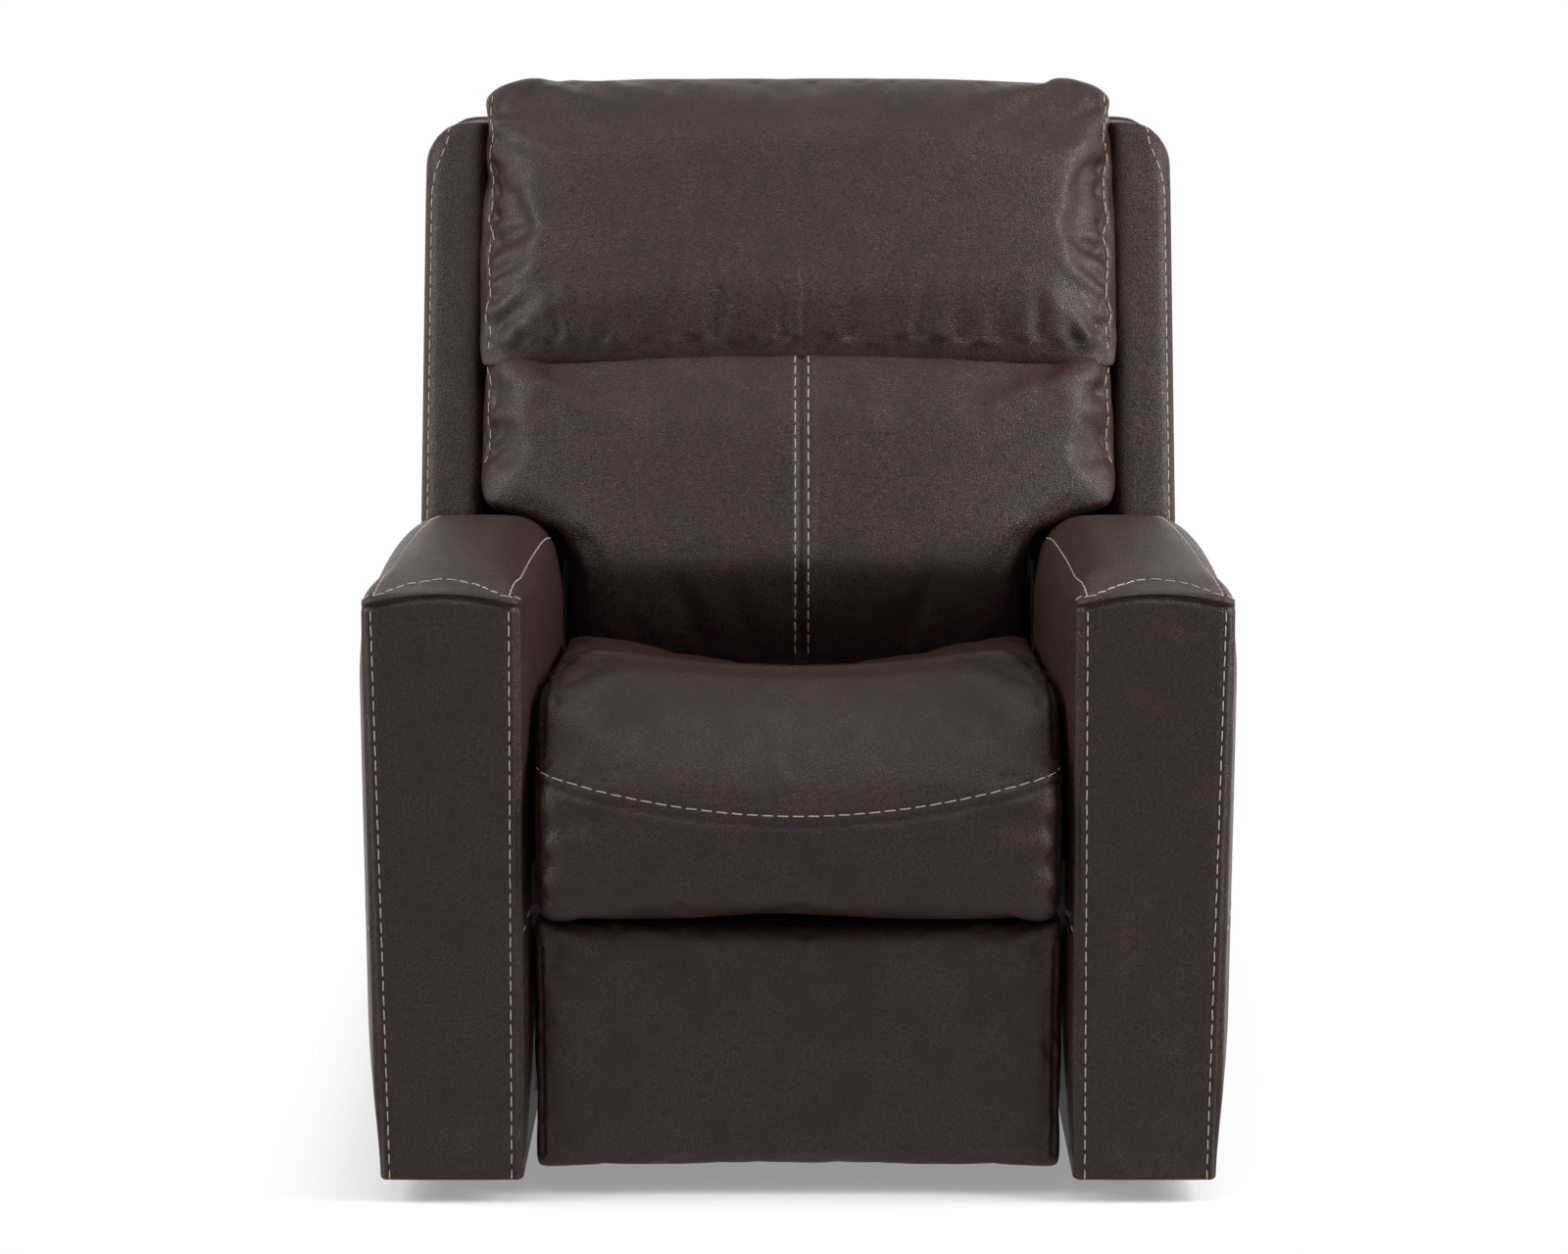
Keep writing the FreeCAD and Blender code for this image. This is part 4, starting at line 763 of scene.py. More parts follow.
# %% Habits of the pillows
PILLOW_HALF = 0.3635
PILLOW_VOXEL = 0.0065
PILLOW_PRESSURE = 4


def lean(obj):
    set_points(obj, leaning(points_of(obj)))


def stitch_upright(obj, body, path, way):
    """Keeps a stitch line of a piece that is still upright, leaned as the piece will be."""
    places, facing = lay(obj, path, way)
    stitched.append((body, leaning(places), leaning(places + facing) - leaning(places)))


def wavy(values, swing, wave):
    """A seam that folds pull to and fro."""
    return swing * (np.sin(values * 2 * math.pi / wave) + 0.6 * np.sin(values * 2 * math.pi / (0.63 * wave) + 1.3))


def side_folds(obj, seam_x, rows, drift):
    """Folds that run inwards from a side seam, on both sides of a pillow: height, length, width and depth of each."""
    ups = [row[0] for row in rows]
    folds = []
    for side in (-1, 1):
        for up, length, width, depth in rows:
            up = up + chance.uniform(-0.008, 0.008)
            turn = drift * (up - np.mean(ups)) / (np.max(ups) - np.min(ups)) + chance.uniform(-0.15, 0.15)
            start = (side * seam_x, 0, up)
            end = (side * (seam_x - length * math.cos(turn)), 0, up - length * math.sin(turn))
            ends = lay(obj, (start, end), FROM_FRONT)[0]
            if len(ends) == 2:
                folds.append((ends[0], ends[1], width, depth))
    fold(obj, folds)


def square_sides(points, half, top, radius):
    """Brings the sides of a pillow out to one width, with round upper corners."""
    levels = np.linspace(points[:, 2].min(), top, 30)
    reach = [np.abs(points[np.abs(points[:, 2] - level) < 0.012, 0]).max() for level in levels]
    over = np.clip((levels - top + radius) / radius, 0, 1)
    wanted = half - radius + radius * np.sqrt(1 - over**2)
    share = np.clip(wanted / np.array(reach), 0.9, 1.12)
    points[:, 0] *= np.interp(points[:, 2], levels, share)


def turn_sides(points, half, depth, power):
    """Lets the front of a pillow fall back towards its sides."""
    front = 1 - smooth_step(-0.12, 0.02, points[:, 1])
    points[:, 1] += depth * front * np.clip(np.abs(points[:, 0]) / half, 0, 1) ** power


print("pillows are", 2 * PILLOW_HALF, "m wide")

# %% [markdown]
# The lower pillow fills the space between the arms, widens above them and runs on behind them.
# Its foot is drawn out and back, so that it closes the gap behind the seat.
# The wide part is fused to the narrow one by a remesh, because two pieces side by side would show a slit.

# %% Lumbar pillow
LUMBAR_TOP = 0.466
LOBE_OUTLINE = ((0.24, 0.2), (0.2615, 0.24), (0.295, 0.266), (0.36, 0.289), (0.36, 0.34), (0.24, 0.34))
LOBE_FRONT, LOBE_REAR = -0.13, -0.07
LUMBAR_FOOT_DROP = 0.052
# Heights, and the front or the half width that the pillow has there.
LUMBAR_FRONT = ((0.085, 0.105, 0.14, 0.2), (-0.04, -0.068, -0.098, -0.122))
BESIDE_ARM = ((0.2, 0.25, 0.268, 0.29), (0.2615, 0.266, 0.3, PILLOW_HALF))
BETWEEN_ARMS, ARM_FALL = 0.2625, 0.2
LUMBAR_CORNER, LUMBAR_TURN = 0.028, 0.036
LUMBAR_SPARE, LUMBAR_CAP = 0.015, 0.013


def fill_lobes(obj):
    """Fills the corners over the arms, so that the pillow's face runs on behind them."""
    full = bmesh.new()
    full.from_mesh(obj.data)
    for side in (-1, 1):
        ends = [[full.verts.new((side * x, back, up)) for x, up in LOBE_OUTLINE] for back in (LOBE_FRONT, LOBE_REAR)]
        faces = [full.faces.new(end) for end in ends]
        for i in range(len(LOBE_OUTLINE)):
            faces.append(full.faces.new((ends[0][i - 1], ends[0][i], ends[1][i], ends[1][i - 1])))
        bmesh.ops.recalc_face_normals(full, faces=faces)
    full.to_mesh(obj.data)
    full.free()
    even_squares(obj, PILLOW_VOXEL)


def lumbar_leather():
    pillow = soft_copy("lumbar_leather", "lumbar_cushion", PILLOW_VOXEL, True)
    fill_lobes(pillow)
    points = points_of(pillow)
    points[:, 2] -= LUMBAR_FOOT_DROP * (1 - smooth_step(0.14, 0.25, points[:, 2]))
    front = np.interp(points[:, 2], *LUMBAR_FRONT)
    rear = points[:, 1].max()
    points[:, 1] = rear + (points[:, 1] - rear) * (front - rear) / (LOBE_FRONT - rear)
    set_points(pillow, points)
    relax(pillow, 12)
    points = points_of(pillow)
    held = (points[:, 1] > 0.015) | (points[:, 2] < 0.11)
    plump(pillow, held, PILLOW_PRESSURE, LUMBAR_SPARE, LUMBAR_CAP)
    points = points_of(pillow)
    # The lower part keeps clear of the arms, whose tops fall towards the rear.
    over_arm = points[:, 2] - ARM_FALL * np.clip(points[:, 1] + 0.095, 0, 0.06)
    beside_arm = np.interp(over_arm, *BESIDE_ARM)
    narrow = BETWEEN_ARMS / np.abs(points[points[:, 2] < 0.2, 0]).max()
    points[:, 0] *= 1 + (narrow - 1) * (1 - smooth_step(0.2, 0.27, points[:, 2]))
    points[:, 0] = np.clip(points[:, 0], -beside_arm, beside_arm)
    # The top rises in front of the headrest's hinge.
    before_hinge = 1 - smooth_step(-0.098, -0.08, points[:, 1])
    rise = LUMBAR_TOP - points[points[:, 1] < -0.112, 2].max()
    points[:, 2] += rise * smooth_step(0.36, 0.43, points[:, 2]) * before_hinge
    # The sides are squared above the arms and fall back.
    upper = points[:, 2] > 0.3
    squared = points[upper]
    square_sides(squared, PILLOW_HALF, LUMBAR_TOP, LUMBAR_CORNER)
    points[upper] += smooth_step(0.3, 0.35, points[upper, 2])[:, None] * (squared - points[upper])
    turned = points.copy()
    turn_sides(turned, PILLOW_HALF, LUMBAR_TURN, 3)
    points += smooth_step(0.2, 0.31, points[:, 2])[:, None] * (turned - points)
    set_points(pillow, points)
    relax(pillow, 3)
    refine(pillow)
    return pillow


lumbar = lumbar_leather()
print("lumbar cover", len(lumbar.data.vertices), "points")

# %% [markdown]
# Two stitched rows run down the pillow's middle with the seam between them, and its side seams gather soft folds.
# The rows are laid on the finished surface, so that the thread follows every fold.

# %% Lumbar seams and folds
LUMBAR_SEAM_X, LUMBAR_ROWS_X = 0.004, (-0.0035, 0.0115)
LUMBAR_SIDE_SEAM, LUMBAR_FOLD_DRIFT = 0.3545, 1.1
# Each row: height, length, width, depth.
LUMBAR_FOLDS = (
    (0.352, 0.05, 0.008, 0.003),
    (0.376, 0.06, 0.009, 0.004),
    (0.398, 0.07, 0.009, 0.004),
    (0.416, 0.09, 0.011, 0.006),
    (0.436, 0.12, 0.013, 0.008),
)
side_folds(lumbar, 0.352, LUMBAR_FOLDS, LUMBAR_FOLD_DRIFT)
groove(lumbar, line((LUMBAR_SEAM_X, 0, 0.12), (LUMBAR_SEAM_X, 0, 0.46)), FROM_FRONT, 0.0038, 0.005)
sewn = []
for x in LUMBAR_ROWS_X:
    sewn.append(line((x, 0, 0.12), (x, 0, 0.462)))
    groove(lumbar, sewn[-1], FROM_FRONT, STITCH_GROOVE_DEPTH, STITCH_GROOVE_WIDTH)
for side in (-1, 1):
    ups = np.linspace(0.345, 0.447, 60)
    sewn.append(np.column_stack((side * (LUMBAR_SIDE_SEAM + wavy(ups, 0.0016, 0.055)), 0 * ups, ups)))
    groove(lumbar, sewn[-1], FROM_FRONT, 0.0016, STITCH_GROOVE_WIDTH)
for path in sewn:
    stitch_upright(lumbar, "back", path, FROM_FRONT)
lean(lumbar)
dress(lumbar, "back", "lumbar_cushion")

# %% [markdown]
# The headrest is the fullest pillow: a lip hangs over the lumbar pillow, the top is flat and the sides are square.
# Cloth alone would make a balloon of it, so the swollen form is brought back to those outlines.

# %% Headrest pillow
HEADREST_FOOT, HEADREST_TOP = 0.457, 0.802
HEADREST_SET_BACK = 0.008
LIP_DROP = 0.027
SIDE_SPARE = 0.006
TOP_CROWN, TOP_CEILING = 0.006, 0.004
HEADREST_CORNER, HEADREST_TURN = 0.036, 0.03
HEADREST_SPARE, HEADREST_CAP = 0.006, 0.014


def headrest_leather():
    pillow = soft_copy("headrest_leather", "headrest_cushion", PILLOW_VOXEL, True)
    relax(pillow, 22)
    points = points_of(pillow)
    points[:, 1] += HEADREST_SET_BACK * (1 - smooth_step(-0.12, -0.02, points[:, 1]))
    set_points(pillow, points)
    held = (points[:, 1] > 0.005) | (points[:, 2] < HEADREST_FOOT + 0.02)
    plump(pillow, held, PILLOW_PRESSURE, HEADREST_SPARE, HEADREST_CAP)
    points = points_of(pillow)
    top = points[:, 2].max()
    lip = 1 - smooth_step(-0.104, -0.09, points[:, 1])
    points[:, 2] -= LIP_DROP * lip * (1 - smooth_step(HEADREST_FOOT + 0.02, HEADREST_FOOT + 0.11, points[:, 2]))
    points[:, 2] += (HEADREST_TOP - top) * smooth_step(top - 0.1, top, points[:, 2])
    middle = 1 - (points[:, 0] / PILLOW_HALF) ** 2
    points[:, 2] += TOP_CROWN * middle * smooth_step(HEADREST_TOP - 0.09, HEADREST_TOP, points[:, 2])
    points[:, 2] = np.minimum(points[:, 2], HEADREST_TOP + TOP_CEILING * middle)
    square_sides(points, PILLOW_HALF + SIDE_SPARE, HEADREST_TOP, HEADREST_CORNER)
    turn_sides(points, PILLOW_HALF, HEADREST_TURN, 5)
    set_points(pillow, points)
    relax(pillow, 3)
    refine(pillow)
    return pillow


headrest = headrest_leather()
print("headrest cover", len(headrest.data.vertices), "points")

# %% [markdown]
# Its cover is gathered at the side seams, at the tuck along its foot and, a little, at the top seam.
# Folds of many lengths start there and fade towards the middle. A fixed seed draws them the same way each run.

# %% Headrest seams and folds
HEADREST_SIDE_SEAM, HEADREST_FOLD_DRIFT = 0.3555, 1.2
# Each row: height, length, width, depth.
HEADREST_FOLDS = (
    (0.49, 0.11, 0.012, 0.009),
    (0.515, 0.09, 0.010, 0.007),
    (0.552, 0.07, 0.009, 0.005),
    (0.588, 0.08, 0.011, 0.006),
    (0.622, 0.06, 0.008, 0.004),
    (0.658, 0.075, 0.010, 0.005),
    (0.692, 0.06, 0.009, 0.0045),
    (0.728, 0.09, 0.010, 0.006),
    (0.76, 0.1, 0.012, 0.006),
)
LOWER_FOLDS, UPPER_FOLDS = 15, 13
side_folds(headrest, 0.353, HEADREST_FOLDS, HEADREST_FOLD_DRIFT)
folds = []
for k in range(LOWER_FOLDS):
    x = -0.31 + 0.62 * k / (LOWER_FOLDS - 1) + chance.uniform(-0.016, 0.016)
    tall = chance.uniform(0.04, 0.1) * (1.5 if abs(x) < 0.05 else 1)
    far_x = x + chance.uniform(-0.015, 0.015)
    ends = lay(headrest, ((x, 0, HEADREST_FOOT + 0.012), (far_x, 0, HEADREST_FOOT + tall)), FROM_FRONT)[0]
    if len(ends) == 2:
        folds.append((ends[0], ends[1], chance.uniform(0.007, 0.013), chance.uniform(0.001, 0.0042)))
for k in range(UPPER_FOLDS):
    x = -0.32 + 0.64 * k / (UPPER_FOLDS - 1) + chance.uniform(-0.02, 0.02)
    far_x = x + chance.uniform(-0.02, 0.02)
    ends = lay(headrest, ((x, 0, HEADREST_TOP - 0.012), (far_x, 0, HEADREST_TOP - 0.05)), FROM_FRONT)[0]
    if len(ends) == 2:
        folds.append((ends[0], ends[1], chance.uniform(0.006, 0.010), chance.uniform(0.0008, 0.0022)))
fold(headrest, folds)
groove(headrest, line((0.006, 0, HEADREST_FOOT + 0.005), (0.006, 0, 0.56)), FROM_FRONT, 0.0012, 0.004)
for side in (-1, 1):
    ups = np.linspace(0.475, 0.772, 140)
    path = np.column_stack((side * (HEADREST_SIDE_SEAM + wavy(ups, 0.0022, 0.062)), 0 * ups, ups))
    groove(headrest, path, FROM_FRONT, 0.002, 0.0032)
    stitch_upright(headrest, "headrest", path, FROM_FRONT)
lean(headrest)
dress(headrest, "headrest", "headrest_cushion")

# %% [markdown]
# The wings close the back at both sides. Each is a padded panel with its front edge stitched beside the seam.
# They are firm, so they are puffed along their normals and need no cloth.

# %% Wings
WING_INSIDE, WING_WIDTH = 0.362, 0.071
WING_FRONT_PUFF, WING_SIDE_PUFF = 0.008, 0.006
WING_FOOT, WING_TOP = 0.27, 0.742
# Distance from the outer edge and depth of the stitch row, the seam and the edge.
WING_STITCH_LINE = (0.0125, 0.0008)
WING_SEAM_LINES = ((0.0065, 0.0016), (0.002, 0.001))


def wing_leather(name, node, side):
    wing = soft_copy(name, node, 0.005, True)
    relax(wing, 5)
    points, facing = points_of(wing), normals_of(wing)
    across = (np.abs(points[:, 0]) - WING_INSIDE) / WING_WIDTH
    side_puff = WING_SIDE_PUFF * np.maximum(facing[:, 0] * side, 0) ** 2
    points[:, 1] -= WING_FRONT_PUFF * np.maximum(-facing[:, 1], 0) ** 2 * np.clip(1 - (2 * across - 1) ** 4, 0, 1)
    points[:, 0] += side * side_puff * smooth_step(-0.05, 0.04, points[:, 1]) * smooth_step(0.05, 0.2, points[:, 2])
    set_points(wing, points)
    edge_x = np.abs(points[:, 0]).max()
    ups = np.linspace(WING_FOOT, WING_TOP, 150)
    bend = 0.02 * smooth_step(0.64, WING_TOP, ups) ** 2
    for inset, depth in (WING_STITCH_LINE,) + WING_SEAM_LINES:
        path = np.column_stack((side * (edge_x - inset - bend), 0 * ups, ups))
        groove(wing, path, FROM_FRONT, depth, STITCH_GROOVE_WIDTH)
        if (inset, depth) == WING_STITCH_LINE:
            stitch_upright(wing, "back", path, FROM_FRONT)
    lean(wing)
    dress(wing, "back", node)


wing_leather("left_wing_leather", "left_wing", -1)
wing_leather("right_wing_leather", "right_wing", 1)

# %% [markdown]
# The outer back is one large panel of leather over board, crowned by its padding, with a seam round three sides.
# A flat plate would mirror the room as one patch, and the crown spreads the light as the real one does.

# %% Outer back
BACK_CROWN = 0.008
BACK_STITCH_LINE, BACK_SEAM_LINE = (0.0, 0.0008), (-0.007, 0.0016)


def outer_back_leather():
    panel = soft_copy("outer_back_leather", "outer_back_panel", 0.006, True)
    relax(panel, 4)
    points, facing = points_of(panel), normals_of(panel)
    low, high = points.min(0), points.max(0)
    share = (points - low) / (high - low) * 2 - 1
    crown = np.clip(1 - share[:, 0] ** 4, 0, 1) * np.clip(1 - share[:, 2] ** 4, 0, 1)
    points[:, 1] += BACK_CROWN * crown * np.maximum(facing[:, 1], 0)
    set_points(panel, points)
    edge, top, foot = high[0] - 0.012, high[2] - 0.014, low[2] + 0.02
    for inset, depth in (BACK_STITCH_LINE, BACK_SEAM_LINE):
        left, right, over = -edge + inset, edge - inset, top - inset
        path = line((left, 0, foot), (left, 0, over), (right, 0, over), (right, 0, foot))
        groove(panel, path, FROM_BEHIND, depth, 0.0035)
    left_row = line((-edge, 0, foot), (-edge, 0, top))
    top_row = line((-edge, 0, top), (edge, 0, top))
    right_row = line((edge, 0, foot), (edge, 0, top))
    for row in (left_row, top_row, right_row):
        stitch_upright(panel, "back", row, FROM_BEHIND)
    lean(panel)
    dress(panel, "back", "outer_back_panel")


outer_back_leather()

# %% [markdown]
# A narrow leather skirt closes the chair between the arms at the rear, with a stitched hem along its top.
# It is a little wider than its board, as a cover that is pulled round an edge.

# %% Rear skirt
SKIRT_WIDER = (1.012, 1, 1)
HEM_DROP, HEM_INSET = 0.012, 0.02
skirt = soft_copy("rear_skirt_leather", "rear_skirt", 0.003, False)
relax(skirt, 2)
set_points(skirt, points_of(skirt) * SKIRT_WIDER)
skirt_low, skirt_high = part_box("rear_skirt")
hem_up = skirt_high.z - HEM_DROP
topstitch(skirt, "base", line((skirt_low.x + HEM_INSET, 0, hem_up), (skirt_high.x - HEM_INSET, 0, hem_up)), FROM_BEHIND)
dress(skirt, "base", "rear_skirt")

# %% [markdown]
# The thread is bonded polyester, beige, about 1.3 mm thick. The eye sees a dry, slightly uneven beige
# with the twist of its plies. The plies are drawn a little coarser than real ones, so that they show.
# One even colour would do from far away, and the noise keeps it from looking like plastic nearby.

# %% Thread
THREAD_RADIUS = 0.00068
THREAD_CLOUD, THREAD_PLY = 0.006, 0.0006


def make_thread():
    material, tree = new_material("bonded_polyester_thread")
    place = add(tree, "ShaderNodeTexCoord").outputs["Object"]
    cloud = add(tree, "ShaderNodeTexNoise", {"Vector": place, "Scale": 1 / THREAD_CLOUD, "Detail": 2.0})
    colour = add(
        tree,
        "ShaderNodeMix",
        {"Factor": cloud.outputs["Fac"], "A": linear("#8c7e70"), "B": linear("#b3a696")},
        data_type="RGBA",
    )
    ply = add(tree, "ShaderNodeTexNoise", {"Vector": place, "Scale": 1 / THREAD_PLY})
    bump = add(tree, "ShaderNodeBump", {"Strength": 0.4, "Distance": 0.0002, "Height": ply.outputs["Fac"]})
    shader = add(
        tree,
        "ShaderNodeBsdfPrincipled",
        {"Base Color": colour.outputs["Result"], "Roughness": 0.55, "Normal": bump.outputs["Normal"]},
    )
    add(tree, "ShaderNodeOutputMaterial", {"Surface": shader.outputs[0]})
    return material


thread = make_thread()
print("thread", round(2000 * THREAD_RADIUS, 2), "mm thick")

# %% [markdown]
# The covers are sewn with long top stitches of 15 mm. One short bowed piece of thread is modelled,
# with few faces, because there are hundreds of copies.

# %% One stitch
STITCH_PITCH, STITCH_LENGTH = 0.0152, 0.0132
STITCH_RINGS, STITCH_SIDES = 7, 6
STITCH_DIP, STITCH_TAPER = 1.7, 0.35


def one_stitch():
    """A bowed piece of thread whose ends dip into the leather."""
    rings, sides = STITCH_RINGS, STITCH_SIDES
    points, faces = [], []
    for i in range(rings):
        share = 2 * i / (rings - 1) - 1
        dip = -STITCH_DIP * THREAD_RADIUS * share**6
        radius = THREAD_RADIUS * (1 - STITCH_TAPER * share**8)
        for j in range(sides):
            angle = 2 * math.pi * j / sides
            points.append((share * STITCH_LENGTH / 2, radius * math.cos(angle), radius * math.sin(angle) + dip))
    for i in range(rings - 1):
        for j in range(sides):
            k = (j + 1) % sides
            faces.append((i * sides + j, (i + 1) * sides + j, (i + 1) * sides + k, i * sides + k))
    faces.append(tuple(range(sides)))
    faces.append(tuple(range((rings - 1) * sides, rings * sides))[::-1])
    mesh = bpy.data.meshes.new("one_stitch")
    mesh.from_pydata(points, [], [face[::-1] for face in faces])
    obj = new_object("one_stitch", mesh)
    smooth_shade(obj)
    return obj


stitch_piece = one_stitch()
print("one stitch has", len(stitch_piece.data.polygons), "faces")

# %% [markdown]
# A Geometry Nodes tree spaces the stitch along every line, turns it along the line and away from the leather,
# and makes the copies real, because an export drops instances. Copies could be placed in Python as well,
# but a tree keeps pitch and lift as values that can be changed on the piece.

# %% Sewing tree
STITCH_TILT = 0.05
SEWING_INPUTS = {
    "Geometry": "NodeSocketGeometry",
    "Thread piece": "NodeSocketObject",
    "Pitch": "NodeSocketFloat",
    "Lift": "NodeSocketFloat",
    "Thread": "NodeSocketMaterial",
}


def sewing_tree():
    tree = bpy.data.node_groups.new("sewing", "GeometryNodeTree")
    for socket, kind in SEWING_INPUTS.items():
        tree.interface.new_socket(socket, in_out="INPUT", socket_type=kind)
    tree.interface.new_socket("Geometry", in_out="OUTPUT", socket_type="NodeSocketGeometry")
    given = add(tree, "NodeGroupInput").outputs
    curve = add(tree, "GeometryNodeMeshToCurve", {"Mesh": given["Geometry"]})
    spaced = add(
        tree,
        "GeometryNodeResampleCurve",
        {"Curve": curve.outputs[0], "Length": given["Pitch"]},
        mode="LENGTH",
    )
    facing = add(tree, "GeometryNodeInputNamedAttribute", {"Name": "facing"}, data_type="FLOAT_VECTOR")
    lift = add(tree, "ShaderNodeVectorMath", {0: facing.outputs[0], "Scale": given["Lift"]}, operation="SCALE")
    raised = add(tree, "GeometryNodeSetPosition", {"Geometry": spaced.outputs[0], "Offset": lift.outputs[0]})
    tangent = add(tree, "GeometryNodeInputTangent")
    tilt = add(
        tree,
        "FunctionNodeRandomValue",
        {0: (-STITCH_TILT,) * 3, 1: (STITCH_TILT,) * 3, "Seed": 5},
        data_type="FLOAT_VECTOR",
    )
    way = add(tree, "ShaderNodeVectorMath", {0: tangent.outputs[0], 1: tilt.outputs[0]}, operation="ADD")
    turn = add(
        tree,
        "FunctionNodeAxesToRotation",
        {"Primary Axis": facing.outputs[0], "Secondary Axis": way.outputs[0]},
        primary_axis="Z",
        secondary_axis="X",
    )
    piece = add(tree, "GeometryNodeObjectInfo", {"Object": given["Thread piece"]})
    copies = add(
        tree,
        "GeometryNodeInstanceOnPoints",
        {"Points": raised.outputs[0], "Instance": piece.outputs["Geometry"], "Rotation": turn.outputs[0]},
    )
    real = add(tree, "GeometryNodeRealizeInstances", {"Geometry": copies.outputs[0]})
    done = add(tree, "GeometryNodeSetMaterial", {"Geometry": real.outputs[0], "Material": given["Thread"]})
    add(tree, "NodeGroupOutput", {"Geometry": done.outputs[0]})
    return tree


sewing = sewing_tree()
print("sewing tree of", len(sewing.nodes), "nodes")

# %% [markdown]
# Each body that moves gets its own rows of thread, so that the stitches go with their cover.
# The rows are made a plain mesh here, because a live modifier would be lost with the stitch that it copies.

# %% Sewing
STITCH_LIFT = 0.0002


def sew(name, body, tree, piece):
    """Makes the thread of every stitch line on one body."""
    points, edges, facing = [], [], []
    for owner, places, ways in stitched:
        if owner == body:
            first = len(points)
            points.extend(places.tolist())
            facing.extend((ways / np.linalg.norm(ways, axis=1, keepdims=True)).tolist())
            edges.extend((i, i + 1) for i in range(first, len(points) - 1))
    mesh = bpy.data.meshes.new(name)
    mesh.from_pydata(points, edges, [])
    attribute = mesh.attributes.new("facing", "FLOAT_VECTOR", "POINT")
    attribute.data.foreach_set("vector", np.array(facing, dtype=np.float32).ravel())
    rows = new_object(name, mesh)
    machine = rows.modifiers.new("sewing", "NODES")
    machine.node_group = tree
    values = {"Thread piece": piece, "Pitch": STITCH_PITCH, "Lift": STITCH_LIFT, "Thread": thread}
    for socket in tree.interface.items_tree:
        if socket.in_out == "INPUT" and socket.name in values:
            machine[socket.identifier] = values[socket.name]
    settle(rows)
    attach(rows, body)
    print(name, len(rows.data.polygons), "faces of thread")


for body in ("base", "back", "headrest"):
    sew(body + "_stitches", body, sewing, stitch_piece)
bpy.data.objects.remove(stitch_piece)

# %% [markdown]
# Behind the leather are the pieces that carry the sitter. Their boards are planed pine, which shows pale wood
# with darker streaks of growth rings along the board. Real rings are arcs, but a noise stretched along the board
# reads the same on narrow edges.

# %% Pine
GRAIN_LENGTH, GRAIN_WIDTH = 0.16, 0.005


def make_wood():
    material, tree = new_material("pine_board")
    place = add(tree, "ShaderNodeTexCoord").outputs["Object"]
    streak = add(
        tree,
        "ShaderNodeVectorMath",
        {0: place, 1: (1 / GRAIN_LENGTH, 1 / GRAIN_WIDTH, 1 / GRAIN_WIDTH)},
        operation="MULTIPLY",
    )
    rings = add(tree, "ShaderNodeTexNoise", {"Vector": streak.outputs[0], "Scale": 1.0, "Detail": 4.0})
    colour = add(
        tree,
        "ShaderNodeMix",
        {"Factor": rings.outputs["Fac"], "A": linear("#c4a273"), "B": linear("#9a7142")},
        data_type="RGBA",
    )
    bump = add(tree, "ShaderNodeBump", {"Strength": 0.2, "Distance": 0.0003, "Height": rings.outputs["Fac"]})
    shader = add(
        tree,
        "ShaderNodeBsdfPrincipled",
        {"Base Color": colour.outputs["Result"], "Roughness": 0.62, "Normal": bump.outputs["Normal"]},
    )
    add(tree, "ShaderNodeOutputMaterial", {"Surface": shader.outputs[0]})
    return material


pine = make_wood()
print("pine streaks of", GRAIN_WIDTH * 1000, "mm")

# %% [markdown]
# Powder coat has a faint orange peel, drawn wire has fine bright marks, and moulded plastic has a spark-eroded grain.
# All are a fine even bump under a broad change of tone, so one recipe with the real sizes makes them all.

# %% Coated, drawn and moulded finishes
PEEL, MOULD_GRAIN = 0.0016, 0.0007
BROAD_TONE = 25
WEAR = 0.08


def make_grained(name, dark, light, grain, depth, roughness, metallic):
    """A finish with a fine even grain: powder coat, moulded plastic or drawn wire."""
    material, tree = new_material(name)
    place = add(tree, "ShaderNodeTexCoord").outputs["Object"]
    fine = add(tree, "ShaderNodeTexNoise", {"Vector": place, "Scale": 1 / grain, "Detail": 2.0})
    broad = add(tree, "ShaderNodeTexNoise", {"Vector": place, "Scale": 1 / (BROAD_TONE * grain), "Detail": 3.0})
    colour = add(
        tree,
        "ShaderNodeMix",
        {"Factor": broad.outputs["Fac"], "A": linear(dark), "B": linear(light)},
        data_type="RGBA",
    )
    worn = add(
        tree,
        "ShaderNodeMapRange",
        {"Value": broad.outputs["Fac"], "To Min": roughness - WEAR, "To Max": roughness + WEAR},
    )
    bump = add(tree, "ShaderNodeBump", {"Strength": 0.3, "Distance": depth, "Height": fine.outputs["Fac"]})
    shader = add(
        tree,
        "ShaderNodeBsdfPrincipled",
        {
            "Base Color": colour.outputs["Result"],
            "Metallic": metallic,
            "Roughness": worn.outputs["Result"],
            "Normal": bump.outputs["Normal"],
        },
    )
    add(tree, "ShaderNodeOutputMaterial", {"Surface": shader.outputs[0]})
    return material


# Matt and even, nearly black.
black_plastic = make_grained("moulded_black_plastic", "#1c1c1d", "#272728", MOULD_GRAIN, 0.0002, 0.55, 0.0)
# Smoother and darker, so that the buttons catch a soft light.
panel_plastic = make_grained("satin_panel_plastic", "#161617", "#1f1f20", MOULD_GRAIN, 0.00005, 0.32, 0.0)
# Bright grey metal with a broken shine.
spring_wire = make_grained("drawn_steel_wire", "#8b8b8a", "#a5a5a3", PEEL, 0.0001, 0.36, 1.0)
# Black with a soft shine that ripples.
black_steel = make_grained("powder_coated_steel", "#1f1f20", "#2b2b2c", PEEL, 0.0002, 0.42, 0.0)
print("orange peel of", PEEL * 1000, "mm")

# %% [markdown]
# The deck under the cushion is a woven polypropylene cloth: flat dark tapes that cross over and under.
# The eye sees a dull black check. A checker in real tape widths gives it, with no weave to model.

